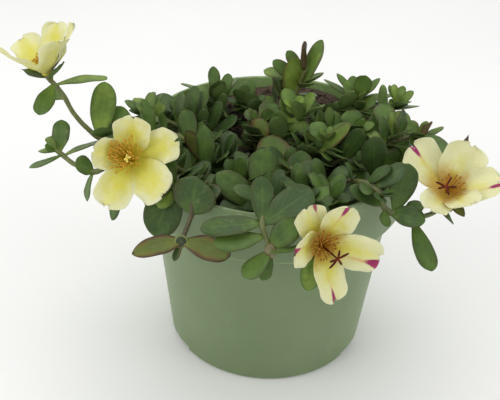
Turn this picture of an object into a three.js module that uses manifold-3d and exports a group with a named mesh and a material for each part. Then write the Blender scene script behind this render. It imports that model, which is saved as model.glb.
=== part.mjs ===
// A flowering portulaca growing in a 13 cm round nursery pot.
// Millimetres, +Z up, origin at the centre of the pot's flat base.
// Pieces: the pot, the potting soil, every leafy stem, and for each bloom its petals,
// its ring of stamens and its pistil.
import * as THREE from 'three';
import { mergeVertices } from 'three/addons/utils/BufferGeometryUtils.js';
import Module from 'manifold-3d';

const wasm = await Module();
wasm.setup();

// ---------------------------------------------------------------- driving sizes
const RIM_RADIUS = 65;
const POT_HEIGHT = 110;
const COLLAR_DEPTH = 27;
const COLLAR_FOOT_RADIUS = 64;
const NECK_RADIUS = 58.3;
const BASE_RADIUS = 49.2;
const WALL = 1.5;
const FLOOR = 4;
const POT_SIDES = 40;
const DRAIN = { angles: [-30, 90, 210], width: 15, height: 3.2, depth: 5, slot: 3 };

const CLEARANCE = 0.3;
const SOIL_LEVEL = 96;
const SOIL_SIDES = 20;
const STEM_FOOT = 89;
const STRAIGHT_TO = [97.5, 102];
const HOLE_RADIUS = 2.2;
const HOLE_CUT = 20;

const LEAF_TOP = 0.2;
const LEAF_KEEL = -0.8;
const LEAF_ROOT = 0.4;
const LEAF_CUP = 0.05;
const BIG_LEAF = 15;
const STEM_SIDES = 4;
const LONG_STRETCH = 14;
const PETAL_THICKNESS = 0.8;
const STAMENS = 8;

// outline of a leaf and of a petal: half width, as a share of the widest, along the blade
const LEAF_OUTLINE = [
  [0, 0.16], [0.12, 0.26], [0.3, 0.62], [0.5, 0.92], [0.66, 1], [0.8, 0.92], [0.92, 0.62], [1, 0.08],
];
const PETAL_OUTLINE = [
  [0, 0.22], [0.1, 0.34], [0.25, 0.62], [0.45, 0.88], [0.65, 1], [0.82, 0.97], [0.93, 0.78], [1, 0.42],
];

// ---------------------------------------------------------------- the stems
// root: where the stem leaves the soil. path: the points it runs through after that.
// radii: at the root and at the tip. filler: how many leaves the growth rule adds, and
// between which shares of the stem's length. size: their full length.
// leaves: share of the stem's length, heading, rise, length, width, roll, arch.
// tip: what ends the stem where it isn't a leaf or a bloom.
const STEMS = [
  {
    name: 'stem_far_left_bloom', root: [-36, -2], radii: [1.5, 1], filler: [3, 0.2, 0.45], size: 17,
    path: [
      [-48, -8, 114], [-64, -13, 116], [-79, -14, 114], [-86, -14, 119],
      [-92, -14, 127], [-96, -14, 136], [-101, -14, 143],
    ],
    leaves: [
      [0.58, 80, 50, 26, 12, 40, 0],
      [0.55, 65, 20, 13, 8, 30, 0.05],
      [0.86, 140, -5, 12, 8, -10, 0.05],
      [0.97, -105, -20, 17, 9, -20, 0.15],
      [0.96, 5, 20, 23, 8, 0, 0.25],
    ],
  },
  {
    name: 'stem_left_bloom', root: [-38, -26], radii: [1.5, 1], filler: [3, 0.2, 0.75], size: 17,
    path: [[-47, -32, 113], [-56, -37, 118], [-62, -41, 121]],
    leaves: [
      [1, -130, -55, 29, 9, 10, 0.1],
      [1, -45, -60, 19, 9, 50, 0.1],
      [1, -165, -30, 19, 9, 10, 0.1],
    ],
  },
  {
    name: 'stem_left_sprig', root: [-38, -14], radii: [1.5, 1], filler: [3, 0.2, 0.45], size: 17,
    path: [
      [-50, -21, 114], [-64, -25, 115], [-80, -30, 106], [-90, -28, 108],
      [-96, -25, 111], [-99, -24, 113],
    ],
    leaves: [
      [0.92, 90, 50, 15, 9, 20, 0],
      [0.97, -170, 30, 6, 5, -40, 0],
      [0.88, -145, -10, 16, 8, 0, 0],
      [0.86, 40, 25, 20, 8, 0, 0.2],
      [0.64, -165, 45, 10, 9, -60, 0.1],
      [0.64, -120, -35, 13, 7, 10, 0.3],
    ],
  },
  {
    name: 'stem_left_rim', root: [-38, 10], radii: [1.5, 1], filler: [4, 0.25, 0.7], size: 17,
    path: [[-50, 10, 110], [-58, 7, 114], [-60, 6, 117]],
    leaves: [
      [0.93, -175, 35, 14, 7, 0, 0.1],
      [1, 130, 25, 12, 7, 10, 0],
      [0.97, 95, 30, 14, 9, -30, 0],
      [0.92, 55, 40, 12, 5, -30, 0],
      [0.87, 25, 45, 10, 7, 40, 0],
      [1, -95, 0, 9, 13, -10, 0.1],
      [1, -175, 30, 8, 8, -20, 0.1],
    ],
  },
  {
    name: 'stem_left_arching', root: [-32, 16], radii: [1.5, 1], filler: [4, 0.3, 0.95], size: 17,
    path: [[-39, 18, 107], [-48, 18, 110], [-52, 20, 105]],
    leaves: [
      [1, 60, 20, 16, 6, 20, -0.2],
      [1, 95, 10, 18, 7, -20, -0.15],
      [0.66, 115, -10, 10, 9, 10, 0.1],
    ],
  },
  {
    name: 'stem_back_left', root: [-24, 30], radii: [1.5, 1], filler: [5, 0.25, 0.8], size: 17,
    path: [[-28, 34, 106], [-29, 37, 107], [-30, 38, 110]],
    leaves: [
      [1, 100, 50, 16, 7, 30, 0],
      [1, 160, 20, 19, 6, 10, 0.15],
      [0.55, 70, 50, 19, 8, 20, 0],
      [0.6, -165, 25, 16, 9, -70, 0.1],
      [0.32, 145, 30, 11, 11, -20, 0.1],
    ],
  },
  {
    name: 'stem_back', root: [-10, 34], radii: [1.5, 1], filler: [6, 0.3, 0.9], size: 17,
    path: [[-11, 38, 104], [-14, 40, 105]],
    leaves: [
      [0.94, 115, 30, 13, 7, 40, 0],
      [0.94, 80, 35, 14, 7, 10, 0],
      [0.94, -175, 20, 12, 6, -20, 0],
    ],
  },
  {
    name: 'stem_tall', root: [-4, 31], radii: [1.5, 1], filler: [6, 0.25, 0.8], size: 17,
    path: [[2, 32, 108], [11, 34, 118], [14, 34, 129]],
    leaves: [
      [0.8, 20, 65, 28, 11, 10, 0.05],
      [0.75, -160, 85, 21, 12, -80, 0],
      [1, 145, 30, 14, 6, 0, 0.1],
      [1, 90, 55, 14, 7, 30, -0.1],
      [0.92, 165, 5, 20, 7, -20, 0.1],
      [0.98, 160, 10, 17, 6, 0, 0.1],
      [0.82, 30, 30, 15, 5, -10, 0.1],
      [0.54, 85, 50, 19, 6, 40, 0.1],
      [0.55, 175, 65, 9, 7, -50, 0.1],
    ],
  },
  {
    name: 'stem_bright_centre', root: [2, 6], radii: [1.5, 1], filler: [5, 0.25, 0.75], size: 17,
    path: [[4, 10, 106], [11, 14, 112], [11, 15, 116]],
    leaves: [
      [0.84, 125, 45, 16, 8, -20, 0],
      [0.84, 85, 50, 11, 6, 0, 0],
      [0.85, 55, 45, 15, 7, 0, 0],
      [0.9, 165, 45, 8, 6, -50, 0],
      [0.86, -105, -30, 8, 14, 0, 0.2],
      [0.78, -170, 5, 10, 7, -10, 0.1],
    ],
  },
  {
    name: 'stem_back_right', root: [24, 26], radii: [1.5, 1], filler: [5, 0.25, 0.8], size: 17,
    path: [[30, 31, 108], [41, 32, 108], [41, 33, 114]],
    leaves: [
      [0.96, 145, 25, 21, 6, 10, 0.1],
      [1, 135, 35, 17, 5, 0, 0],
      [0.95, 155, 55, 13, 9, -20, 0],
      [1, 105, 50, 13, 8, 10, 0],
      [1, 20, 75, 14, 9, 60, 0],
      [1, 30, 35, 16, 6, 0, 0],
      [0.97, 15, 15, 18, 8, 0, 0.1],
      [0.92, -5, 30, 10, 8, 40, 0.1],
    ],
  },
  {
    name: 'stem_small_right', root: [36, 22], radii: [1.3, 0.8], filler: [4, 0.25, 0.8], size: 17,
    path: [[48, 24, 108], [56, 26, 112], [60, 26, 117]],
    leaves: [
      [1, 120, 40, 10, 4, -10, 0],
      [1, 60, 50, 9, 5, -30, 0],
      [1, 0, 40, 10, 5, 30, 0],
      [0.94, 160, 40, 4, 4, -20, 0],
    ],
  },
  {
    name: 'stem_right_back', root: [38, 8], radii: [1.5, 1], filler: [5, 0.25, 0.85], size: 17,
    path: [[48, 8, 106], [56, 8, 111]],
    leaves: [
      [1, 110, 30, 16, 11, -30, 0],
      [1, 40, 30, 12, 10, 0, 0.1],
      [1, -30, 20, 11, 9, 40, 0.1],
    ],
  },
  {
    name: 'stem_right_rim', root: [40, -4], radii: [1.5, 1], filler: [4, 0.25, 0.8], size: 17,
    path: [[52, -3, 110], [62, -1, 113], [69, 0, 113]],
    leaves: [
      [0.97, -10, 60, 11, 8, 90, 0],
      [1, 15, 20, 12, 5, -10, 0],
      [1, -40, -20, 15, 8, 30, 0.1],
      [0.94, 125, 20, 9, 8, -50, 0],
      [0.97, -130, -30, 9, 9, -30, 0.1],
    ],
  },
  {
    name: 'stem_right_bloom', root: [28, -26], radii: [1.5, 1], filler: [3, 0.2, 0.4], size: 17,
    path: [
      [38, -40, 112], [45, -48, 113], [48, -52, 107], [56, -54, 104],
      [65, -50, 102], [72, -46, 103], [76, -40, 107],
    ],
    leaves: [
      [0.59, -30, 10, 16, 10, 40, 0.1],
      [0.62, 70, 45, 23, 13, -30, 0.05],
      [0.66, 25, 30, 11, 9, -20, 0.1],
      [0.72, -70, -35, 25, 9, 50, 0],
      [0.56, -95, -25, 9, 6, 0, 0],
      [0.53, 170, 25, 17, 9, 0, 0.1],
      [0.94, -20, 10, 9, 5, 30, 0],
      [0.92, -50, -25, 10, 4, 10, 0],
    ],
  },
  {
    name: 'stem_front_bloom', root: [14, -40], radii: [1.4, 1.1], filler: [3, 0.2, 0.5], size: 17,
    path: [[13, -52, 111], [12, -62, 113], [14, -71, 108], [18, -76, 106]],
    leaves: [
      [1, -100, -40, 21, 10, 10, 0.2],
      [1, -60, -60, 20, 9, -20, 0.1],
      [1, -155, -15, 21, 5, 50, -0.2],
      [0.88, -140, -55, 14, 5, -30, 0],
    ],
  },
  {
    name: 'stem_front', root: [0, -46], radii: [1.5, 1], filler: [2, 0.15, 0.4], size: 17,
    path: [[-3, -55, 111], [-5, -63, 114], [-5, -74, 111], [-3, -77, 106], [-1, -79, 102]], tip: 'bud',
    leaves: [
      [0.7, 90, 40, 20, 11, 20, 0],
      [0.7, -165, 5, 26, 10, 10, 0.1],
      [0.82, -160, 0, 22, 10, 0, 0.05],
      [1, -135, -25, 16, 10, 30, 0],
      [1, -120, -60, 13, 7, -10, 0],
      [0.97, 10, 42, 17, 11, 0, 0.1],
      [0.71, 30, 25, 26, 15, -10, 0.1],
    ],
  },
  {
    name: 'stem_front_left', root: [-16, -32], radii: [1.5, 1], filler: [4, 0.25, 0.9], size: 17,
    path: [[-19, -40, 107], [-27, -46, 103]],
    leaves: [
      [1, 120, 40, 16, 8, -20, 0],
      [1, 60, 50, 12, 8, 0, 0],
    ],
  },
  {
    name: 'stem_left_hanging', root: [-37, -35], radii: [1.5, 1], filler: [3, 0.2, 0.7], size: 17,
    path: [[-41, -41, 112], [-43, -49, 113]],
    leaves: [
      [1, -125, -50, 24, 17, -10, 0.1],
      [1, -130, -25, 12, 9, 0, 0.25],
      [1, 115, 50, 12, 8, -40, 0],
    ],
  },
  {
    name: 'stem_pinched', root: [-28, -40], radii: [1.5, 1], filler: [3, 0.2, 0.5], size: 17,
    path: [[-32, -48, 112], [-35, -57, 114], [-35, -61, 106], [-39, -67, 96]], tip: 'cut',
    leaves: [
      [0.83, 60, 80, 17, 20, 0, 0],
      [1, -155, 8, 21, 10, -10, 0.22],
      [1, -20, 5, 22, 12, 0, 0.22],
      [1, -110, -40, 9, 4, 10, 0],
    ],
  },
  {
    name: 'stem_middle_left', root: [-10, -24], radii: [1.5, 1], filler: [5, 0.2, 0.85], size: 17,
    path: [[-10, -36, 108], [-6, -44, 101]],
    leaves: [
      [1, 175, 26, 24, 13, -10, 0.1],
      [0.96, 85, 50, 23, 13, 0, 0],
    ],
  },
  {
    name: 'stem_middle', root: [6, -18], radii: [1.5, 1], filler: [5, 0.2, 0.85], size: 17,
    path: [[8, -25, 108], [9, -30, 100]],
    leaves: [
      [1, 75, 45, 19, 12, 0, 0],
      [0.2, 115, 35, 25, 18, -10, 0],
      [1, 120, 40, 15, 9, 20, 0],
    ],
  },
  {
    name: 'stem_middle_right', root: [22, -34], radii: [1.5, 1], filler: [4, 0.2, 0.8], size: 17,
    path: [[24, -44, 108], [24, -50, 106]],
    leaves: [
      [0.96, 125, 40, 14, 9, 20, 0],
      [0.95, 60, 45, 15, 9, -30, 0],
      [1, -5, 25, 11, 8, -10, 0.1],
      [1, -35, -15, 15, 6, -10, 0.1],
    ],
  },
  {
    name: 'stem_inner_tuft', root: [14, -6], radii: [1.5, 1], filler: [4, 0.2, 0.7], size: 17,
    path: [[20, -7, 108], [26, -8, 108], [25, -7, 113]],
    leaves: [
      [0.49, -15, 40, 28, 8, 40, -0.1],
      [1, 135, -25, 14, 7, 0, 0.1],
      [1, 155, 50, 8, 5, 0, 0],
      [1, 95, 70, 8, 6, -40, 0],
      [1, 20, 55, 8, 5, 10, 0],
      [1, 140, 30, 12, 10, -10, 0],
    ],
  },
  {
    name: 'stem_inner_round', root: [22, 6], radii: [1.5, 1], filler: [5, 0.2, 0.8], size: 17,
    path: [[28, 6, 108], [39, 8, 110]],
    leaves: [
      [1, 140, 65, 11, 12, -50, 0.1],
      [1, 135, 65, 7, 4, -30, 0],
      [1, 25, 60, 8, 4, 30, 0],
      [1, 25, 30, 10, 8, -10, 0],
      [1, -15, 10, 13, 7, 30, 0],
    ],
  },
  {
    name: 'stem_dark_right', root: [28, -10], radii: [1.5, 1], filler: [5, 0.2, 0.8], size: 17,
    path: [[34, -13, 107], [47, -18, 99]],
    leaves: [
      [1, 170, 85, 24, 13, -50, 0],
      [0.97, 135, 30, 20, 13, -30, 0],
      [1, 40, 40, 18, 10, 30, 0],
    ],
  },
  {
    name: 'stem_inner_left', root: [-8, 8], radii: [1.5, 1], filler: [5, 0.2, 0.8], size: 17,
    path: [[-8, 10, 106], [-8, 16, 104], [-7, 16, 108]],
    leaves: [
      [0.2, -180, 30, 32, 9, 0, 0.3],
      [0.3, 55, 75, 14, 11, 10, 0.1],
      [1, 145, 30, 10, 8, -10, 0.1],
      [1, 45, 40, 13, 11, 20, 0],
      [1, -30, 45, 12, 8, 80, 0],
      [0.32, 175, 35, 9, 4, -50, 0],
    ],
  },
  {
    name: 'stem_inner_dark', root: [-22, -10], radii: [1.5, 1], filler: [5, 0.2, 0.8], size: 17,
    path: [[-26, -15, 105], [-30, -21, 101]],
    leaves: [
      [1, -175, 25, 22, 11, 0, 0.1],
      [1, 105, 65, 23, 9, 0, 0],
      [0.94, 135, 40, 22, 8, -30, 0],
      [1, -135, 15, 8, 7, -10, 0],
      [0.2, -65, 55, 10, 9, 90, 0],
    ],
  },
];

// ---------------------------------------------------------------- the blooms
// centre: where the petals meet. facing: heading and rise of the bloom's axis.
// petals: turn round the axis, rise from the bloom's plane, length, width.
const BLOOMS = [
  {
    name: 'far_left', centre: [-102, -14, 147], facing: [175, 76], star: false,
    petals: [[-42, 44, 24, 14], [50, 44, 24, 16], [105, 46, 24, 15], [160, 46, 22, 15], [-138, 30, 22, 15]],
  },
  {
    name: 'left', centre: [-62, -45, 123], facing: [-97, 25], star: false,
    petals: [[168, 42, 18, 14], [88, 24, 19, 16], [28, 10, 22, 15], [-38, 20, 22, 18], [-108, 16, 22, 16]],
  },
  {
    name: 'front', centre: [19, -80, 107], facing: [-68, 12], star: true,
    petals: [[112, 6, 18, 14], [58, 22, 20, 15], [-16, 26, 24, 15], [-82, 22, 23, 13], [168, 28, 16, 15]],
  },
  {
    name: 'right', centre: [76, -42, 110], facing: [-85, 55], star: true,
    petals: [[128, 10, 24, 18], [62, 26, 22, 19], [0, 32, 23, 15], [-60, 46, 18, 14], [-136, 32, 19, 14]],
  },
];

// ---------------------------------------------------------------- small tools
const UP = new THREE.Vector3(0, 0, 1);
const rad = THREE.MathUtils.degToRad;
const vec = (p) => new THREE.Vector3(p[0], p[1], p[2]);
const plus = (p, dir, k) => p.clone().addScaledVector(dir, k);

function heading(azimuth, rise) {
  const a = rad(azimuth);
  const e = rad(rise);
  return new THREE.Vector3(Math.cos(a) * Math.cos(e), Math.sin(a) * Math.cos(e), Math.sin(e));
}

function outlineAt(outline, x) {
  const t = Math.min(Math.max(x, 0), 1);
  const k = Math.max(1, outline.findIndex((row) => row[0] >= t));
  const [t0, w0] = outline[k - 1];
  const [t1, w1] = outline[k];
  return w0 + ((w1 - w0) * (t - t0)) / (t1 - t0);
}

// Park and Miller's generator: the same draws on every run
class Dice {
  constructor(seed) {
    this.state = seed;
  }
  next() {
    this.state = (this.state * 16807) % 2147483647;
    return this.state / 2147483647;
  }
}

// ---------------------------------------------------------------- blades
const OUTLINE_MARGIN = 0.8;
const CHECKED_ALONG = [0.15, 0.32, 0.49, 0.66, 0.83, 1];
const CHECKED_ACROSS = [-1, 0, 1];

// A leaf or a petal: a curved surface hung on its root, its axis and its upper face.
class Blade {
  constructor({ root, axis, face, length, width, roll, arch, cup, outline }) {
    const upper = face.clone().addScaledVector(axis, -face.dot(axis)).normalize();
    const across = new THREE.Vector3().crossVectors(axis, upper);
    this.root = root;
    this.axis = axis;
    this.upper = upper.multiplyScalar(Math.cos(rad(roll))).addScaledVector(across, Math.sin(rad(roll)));
    this.side = new THREE.Vector3().crossVectors(axis, this.upper);
    this.length = length;
    this.width = width;
    this.arch = arch;
    this.cup = cup;
    this.outline = outline;
  }

  halfWidth(t) {
    return (outlineAt(this.outline, t) * this.width) / 2;
  }

  // t runs from root to tip, q from edge to edge, lift stands off the surface
  point(t, q, lift = 0) {
    const w = this.halfWidth(t);
    const h = this.cup * w * q * q - this.arch * this.length * t * t;
    return plus(this.root, this.axis, this.length * t)
      .addScaledVector(this.side, q * w)
      .addScaledVector(this.upper, h + lift);
  }

  lines() {
    return CHECKED_ACROSS.map((q) => CHECKED_ALONG.map((t) => this.point(t, q)));
  }

  local(p) {
    const r = p.clone().sub(this.root);
    const x = r.dot(this.axis) / this.length;
    const y = r.dot(this.side);
    const w = this.halfWidth(x);
    const cup = this.cup * Math.min((y * y) / Math.max(w, 0.3), w);
    return { x, y, h: r.dot(this.upper) + this.arch * this.length * x * x - cup };
  }

  covers({ x, y }) {
    const past = OUTLINE_MARGIN / this.length;
    return x > -0.02 && x < 1 + past && Math.abs(y) < this.halfWidth(x) + OUTLINE_MARGIN;
  }

  // true where a line comes closer to the blade than the gap, or passes through it
  meets(line, gap) {
    let before = null;
    for (const p of line) {
      const here = this.local(p);
      if (Math.abs(here.h) < gap && this.covers(here)) return true;
      if (before && before.h * here.h < 0) {
        const k = before.h / (before.h - here.h);
        const x = before.x + k * (here.x - before.x);
        const y = before.y + k * (here.y - before.y);
        if (this.covers({ x, y })) return true;
      }
      before = here;
    }
    return false;
  }
}

// ---------------------------------------------------------------- the growth rule
// gaps to keep: to other stems, to the pot and the soil, and from each checked line of a leaf
// to the leaves of other stems and to the outer parts of leaves on its own
const STEM_GAP = 2.2;
const POT_GAP = 1.5;
const SOIL_GAP = 1.8;
const BLADE_GAPS = [1.1, 1.5, 1.1];
const SISTER_GAPS = [0.5, 0.6, 0.5];
const SISTERS_JOIN = 2;
const REACH = 0.6;
const SIZES_TO_TRY = [1, 0.88, 0.76];
const BENDS_TO_TRY = [
  [0, 0], [0, 12], [0, -12], [14, 0], [-14, 0], [14, 12], [-14, 12], [14, -12], [-14, -12], [28, 0],
  [-28, 0], [0, 25], [28, 14], [-28, 14], [0, -25], [40, 0], [-40, 0], [25, 30], [-25, 30],
];
const STEM_CHECKS = 28;

// leaves in a spiral down the stem, opening wider towards its foot, each with some play
const FILLER = {
  turn: 137.5, firstTurn: 50, turnPlay: 54,
  opening: 48, openingGrowth: 14, openingPlay: 10,
  lowest: -0.15, lift: 0.12, arch: 0.12,
  length: 0.72, lengthPlay: 0.3, width: 0.48, widthPlay: 0.08,
};
const ACROSS = new THREE.Vector3(0.31, -0.95, 0.05);

function stemCurve(stem) {
  const [x, y] = stem.root;
  const foot = [STEM_FOOT, ...STRAIGHT_TO].map((z) => new THREE.Vector3(x, y, z));
  return new THREE.CatmullRomCurve3([...foot, ...stem.path.map(vec)], false, 'catmullrom', 0.5);
}

function along(curve, t) {
  const clamp = (v) => Math.min(Math.max(v, 0), 1);
  return curve.getPoint(clamp(t + 0.01)).sub(curve.getPoint(clamp(t - 0.01))).normalize();
}

function touchesPot(p) {
  const r = Math.hypot(p.x, p.y);
  const inner = RIM_RADIUS - WALL - POT_GAP;
  const wall = r > inner && r < RIM_RADIUS + POT_GAP && p.z < POT_HEIGHT + POT_GAP;
  return wall || (r <= inner && p.z < SOIL_LEVEL + SOIL_GAP);
}

class Plant {
  constructor(stems) {
    this.blades = [];
    this.curves = new Map(stems.map((stem) => [stem.name, stemCurve(stem)]));
    this.stemLines = new Map();
    for (const [name, curve] of this.curves) {
      const shares = Array.from({ length: STEM_CHECKS }, (_, k) => 0.1 + (0.9 * k) / (STEM_CHECKS - 1));
      this.stemLines.set(name, shares.map((t) => curve.getPoint(t)));
    }
  }

  isFree(owner, blade) {
    const lines = blade.lines();
    if (lines.flat().some(touchesPot)) return false;
    for (const [name, line] of this.stemLines) {
      if (name !== owner && blade.meets(line, STEM_GAP)) return false;
    }
    const middle = blade.point(0.5, 0);
    for (const other of this.blades) {
      const reach = REACH * (other.blade.length + blade.length);
      if (other.blade.point(0.5, 0).distanceTo(middle) > reach) continue;
      const sameStem = other.owner === owner;
      const gaps = sameStem ? SISTER_GAPS : BLADE_GAPS;
      const free = sameStem ? SISTERS_JOIN : 0;
      if (lines.some((line, k) => other.blade.meets(line.slice(free), gaps[k]))) return false;
      if (other.blade.lines().some((line, k) => blade.meets(line.slice(free), gaps[k]))) return false;
    }
    return true;
  }

  // the leaf keeps its aim if it can, and else bends or shrinks a little to stay clear
  place(owner, t, aim, length, width, roll, arch) {
    const curve = this.curves.get(owner);
    const root = curve.getPoint(t);
    const tangent = along(curve, t);
    const side = new THREE.Vector3().crossVectors(tangent, aim).normalize();
    const face = tangent.clone().multiplyScalar(0.35).addScaledVector(UP, 0.65);
    for (const size of SIZES_TO_TRY) {
      for (const [turn, lift] of BENDS_TO_TRY) {
        const level = Math.cos(rad(lift));
        const axis = aim.clone().multiplyScalar(Math.cos(rad(turn)) * level)
          .addScaledVector(side, Math.sin(rad(turn)) * level)
          .addScaledVector(UP, Math.sin(rad(lift)))
          .normalize();
        const blade = new Blade({
          root, axis, face, roll, arch,
          length: length * size, width: width * size, cup: LEAF_CUP, outline: LEAF_OUTLINE,
        });
        if (this.isFree(owner, blade)) {
          this.blades.push({ owner, blade });
          return;
        }
      }
    }
  }

  growFillers(stem, seed) {
    const [count, from, to] = stem.filler;
    const curve = this.curves.get(stem.name);
    const dice = new Dice(seed);
    for (let k = 0; k < count; k += 1) {
      const share = (k + 0.5) / count;
      const t = to - (to - from) * share;
      const tangent = along(curve, t);
      const side = new THREE.Vector3().crossVectors(tangent, ACROSS).normalize();
      const up = new THREE.Vector3().crossVectors(side, tangent);
      const turn = rad(FILLER.turn * k + FILLER.firstTurn + FILLER.turnPlay * dice.next());
      const opening = rad(FILLER.opening + FILLER.openingGrowth * share + FILLER.openingPlay * dice.next());
      const aim = tangent.clone().multiplyScalar(Math.cos(opening))
        .addScaledVector(side, Math.cos(turn) * Math.sin(opening))
        .addScaledVector(up, Math.sin(turn) * Math.sin(opening));
      aim.z = Math.max(aim.z, FILLER.lowest) + FILLER.lift;
      aim.normalize();
      const length = stem.size * (FILLER.length + FILLER.lengthPlay * dice.next());
      const width = length * (FILLER.width + FILLER.widthPlay * dice.next());
      this.place(stem.name, t, aim, length, width, 0, FILLER.arch);
    }
  }
}

// ---------------------------------------------------------------- solids
// three.js geometry to a closed solid with its faces outwards
function toSolid(geometry) {
  const bare = new THREE.BufferGeometry();
  bare.setAttribute('position', geometry.getAttribute('position').clone());
  bare.setIndex(geometry.index ? geometry.index.clone() : null);
  const merged = mergeVertices(bare, 1e-3);
  const xyz = merged.getAttribute('position').array;
  const faces = [];
  for (let k = 0; k < merged.index.count; k += 3) {
    const [a, b, c] = [0, 1, 2].map((n) => merged.index.getX(k + n));
    if (a !== b && b !== c && c !== a) faces.push([a, b, c]);
  }
  const corner = (n) => new THREE.Vector3().fromArray(xyz, n * 3);
  const volume = faces.reduce((sum, [a, b, c]) => sum + corner(a).dot(corner(b).cross(corner(c))), 0);
  const order = volume > 0 ? faces : faces.map(([a, b, c]) => [a, c, b]);
  const mesh = new wasm.Mesh({
    numProp: 3,
    vertProperties: new Float32Array(xyz),
    triVerts: new Uint32Array(order.flat()),
  });
  return new wasm.Manifold(mesh);
}

// the outer skin alone: what leaves seal off between them is filled, a loose scrap is dropped
function outerSkin(triangles, count) {
  const leader = Array.from({ length: count }, (_, k) => k);
  const find = (k) => {
    let top = k;
    while (leader[top] !== top) top = leader[top];
    leader[k] = top;
    return top;
  };
  for (let k = 0; k < triangles.length; k += 3) {
    leader[find(triangles[k + 1])] = find(triangles[k]);
    leader[find(triangles[k + 2])] = find(triangles[k]);
  }
  const skins = new Map();
  for (let k = 0; k < triangles.length; k += 3) {
    const top = find(triangles[k]);
    if (!skins.has(top)) skins.set(top, []);
    skins.get(top).push(triangles[k], triangles[k + 1], triangles[k + 2]);
  }
  return [...skins.values()].reduce((most, skin) => (skin.length > most.length ? skin : most));
}

function toMesh(name, solid, color, roughness) {
  const mesh = solid.getMesh();
  const geometry = new THREE.BufferGeometry();
  geometry.setAttribute('position', new THREE.BufferAttribute(mesh.vertProperties, 3));
  geometry.setIndex(outerSkin(mesh.triVerts, mesh.vertProperties.length / 3));
  geometry.computeVertexNormals();
  const part = new THREE.Mesh(geometry, new THREE.MeshStandardMaterial({ color, roughness, metalness: 0 }));
  part.name = name;
  return part;
}

// rings of equally many points, joined in order and closed at both ends
function loft(rings) {
  const n = rings[0].length;
  const points = rings.flat();
  const index = [];
  for (let r = 0; r < rings.length - 1; r += 1) {
    for (let k = 0; k < n; k += 1) {
      const a = r * n + k;
      const b = r * n + ((k + 1) % n);
      index.push(a, b, b + n, a, b + n, a + n);
    }
  }
  const last = (rings.length - 1) * n;
  for (let k = 1; k < n - 1; k += 1) {
    index.push(0, k + 1, k, last, last + k, last + k + 1);
  }
  const geometry = new THREE.BufferGeometry();
  geometry.setAttribute('position', new THREE.Float32BufferAttribute(points.flatMap((p) => p.toArray()), 3));
  geometry.setIndex(index);
  return toSolid(geometry);
}

// a rod through points, with a radius at each and as many sides as asked
function rod(points, radii, sides) {
  let normal = new THREE.Vector3(1, 0.2, 0);
  const rings = points.map((p, k) => {
    const ahead = points[Math.min(k + 1, points.length - 1)];
    const behind = points[Math.max(k - 1, 0)];
    const tangent = ahead.clone().sub(behind).normalize();
    normal = normal.clone().addScaledVector(tangent, -normal.dot(tangent)).normalize();
    const other = new THREE.Vector3().crossVectors(tangent, normal);
    return Array.from({ length: sides }, (_, s) => {
      const a = (2 * Math.PI * s) / sides;
      return plus(p, normal, radii[k] * Math.cos(a)).addScaledVector(other, radii[k] * Math.sin(a));
    });
  });
  return loft(rings);
}

// a fleshy leaf: flat above, keeled below, and closed to a point at the tip
function leafSolid(blade) {
  const stations = blade.length > BIG_LEAF ? [0, 0.32, 0.64, 0.88] : [0, 0.42, 0.82];
  const rings = stations.map((t) => {
    const full = t === 0 ? LEAF_ROOT : 1;
    const top = LEAF_TOP * full;
    return [blade.point(t, -full, top), blade.point(t, 0, LEAF_KEEL * full), blade.point(t, full, top)];
  });
  const tip = blade.point(1, 0);
  return loft([...rings, [tip, tip, tip]]);
}

// a thin petal: the same grid of points above and below, joined round its edge
function petalSolid(blade) {
  const ts = [0, 0.22, 0.5, 0.8, 1];
  const qs = [-1, 0, 1];
  const half = PETAL_THICKNESS / 2;
  const rings = ts.map((t) => [
    ...qs.map((q) => blade.point(t, q, half)),
    ...qs.map((q) => blade.point(t, -q, -half)),
  ]);
  return loft(rings);
}

function fuse(solids) {
  return solids.reduce((sum, solid) => sum.add(solid));
}

// ---------------------------------------------------------------- pot and soil
function turned(profile, sides) {
  const points = profile.map(([r, z]) => new THREE.Vector2(r, z));
  const geometry = new THREE.LatheGeometry(points, sides);
  geometry.rotateX(Math.PI / 2);
  return geometry;
}

function boxAt(size, place, turnDegrees) {
  const geometry = new THREE.BoxGeometry(...size);
  geometry.translate(...place);
  geometry.rotateZ(rad(turnDegrees));
  return toSolid(geometry);
}

function makePot() {
  const collarFoot = POT_HEIGHT - COLLAR_DEPTH;
  const profile = [
    [0, 0], [BASE_RADIUS - 1.2, 0], [BASE_RADIUS, 1.4],
    [NECK_RADIUS, collarFoot], [COLLAR_FOOT_RADIUS - 0.6, collarFoot], [COLLAR_FOOT_RADIUS, collarFoot + 0.8],
    [RIM_RADIUS, POT_HEIGHT - 0.6], [RIM_RADIUS - 0.5, POT_HEIGHT], [RIM_RADIUS - WALL, POT_HEIGHT - 0.3],
    [COLLAR_FOOT_RADIUS - WALL, collarFoot + 2], [NECK_RADIUS - WALL, collarFoot - 2],
    [BASE_RADIUS - WALL, FLOOR], [0, FLOOR],
  ];
  let pot = toSolid(turned(profile, POT_SIDES));
  const notch = [DRAIN.depth + 2, DRAIN.width, 2 * DRAIN.height];
  const slot = [DRAIN.slot, DRAIN.width / 2, 5 * FLOOR];
  for (const angle of DRAIN.angles) {
    pot = pot.subtract(boxAt(notch, [BASE_RADIUS + 1 - DRAIN.depth / 2, 0, 0], angle));
    pot = pot.subtract(boxAt(slot, [BASE_RADIUS - DRAIN.depth + DRAIN.slot / 2, 0, 0], angle));
  }
  return pot;
}

function soilRelief(x, y) {
  return 0.5 * Math.sin(0.35 * x + 1) * Math.cos(0.31 * y - 0.5) + 0.3 * Math.sin(0.9 * x - 0.7 * y);
}

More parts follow.
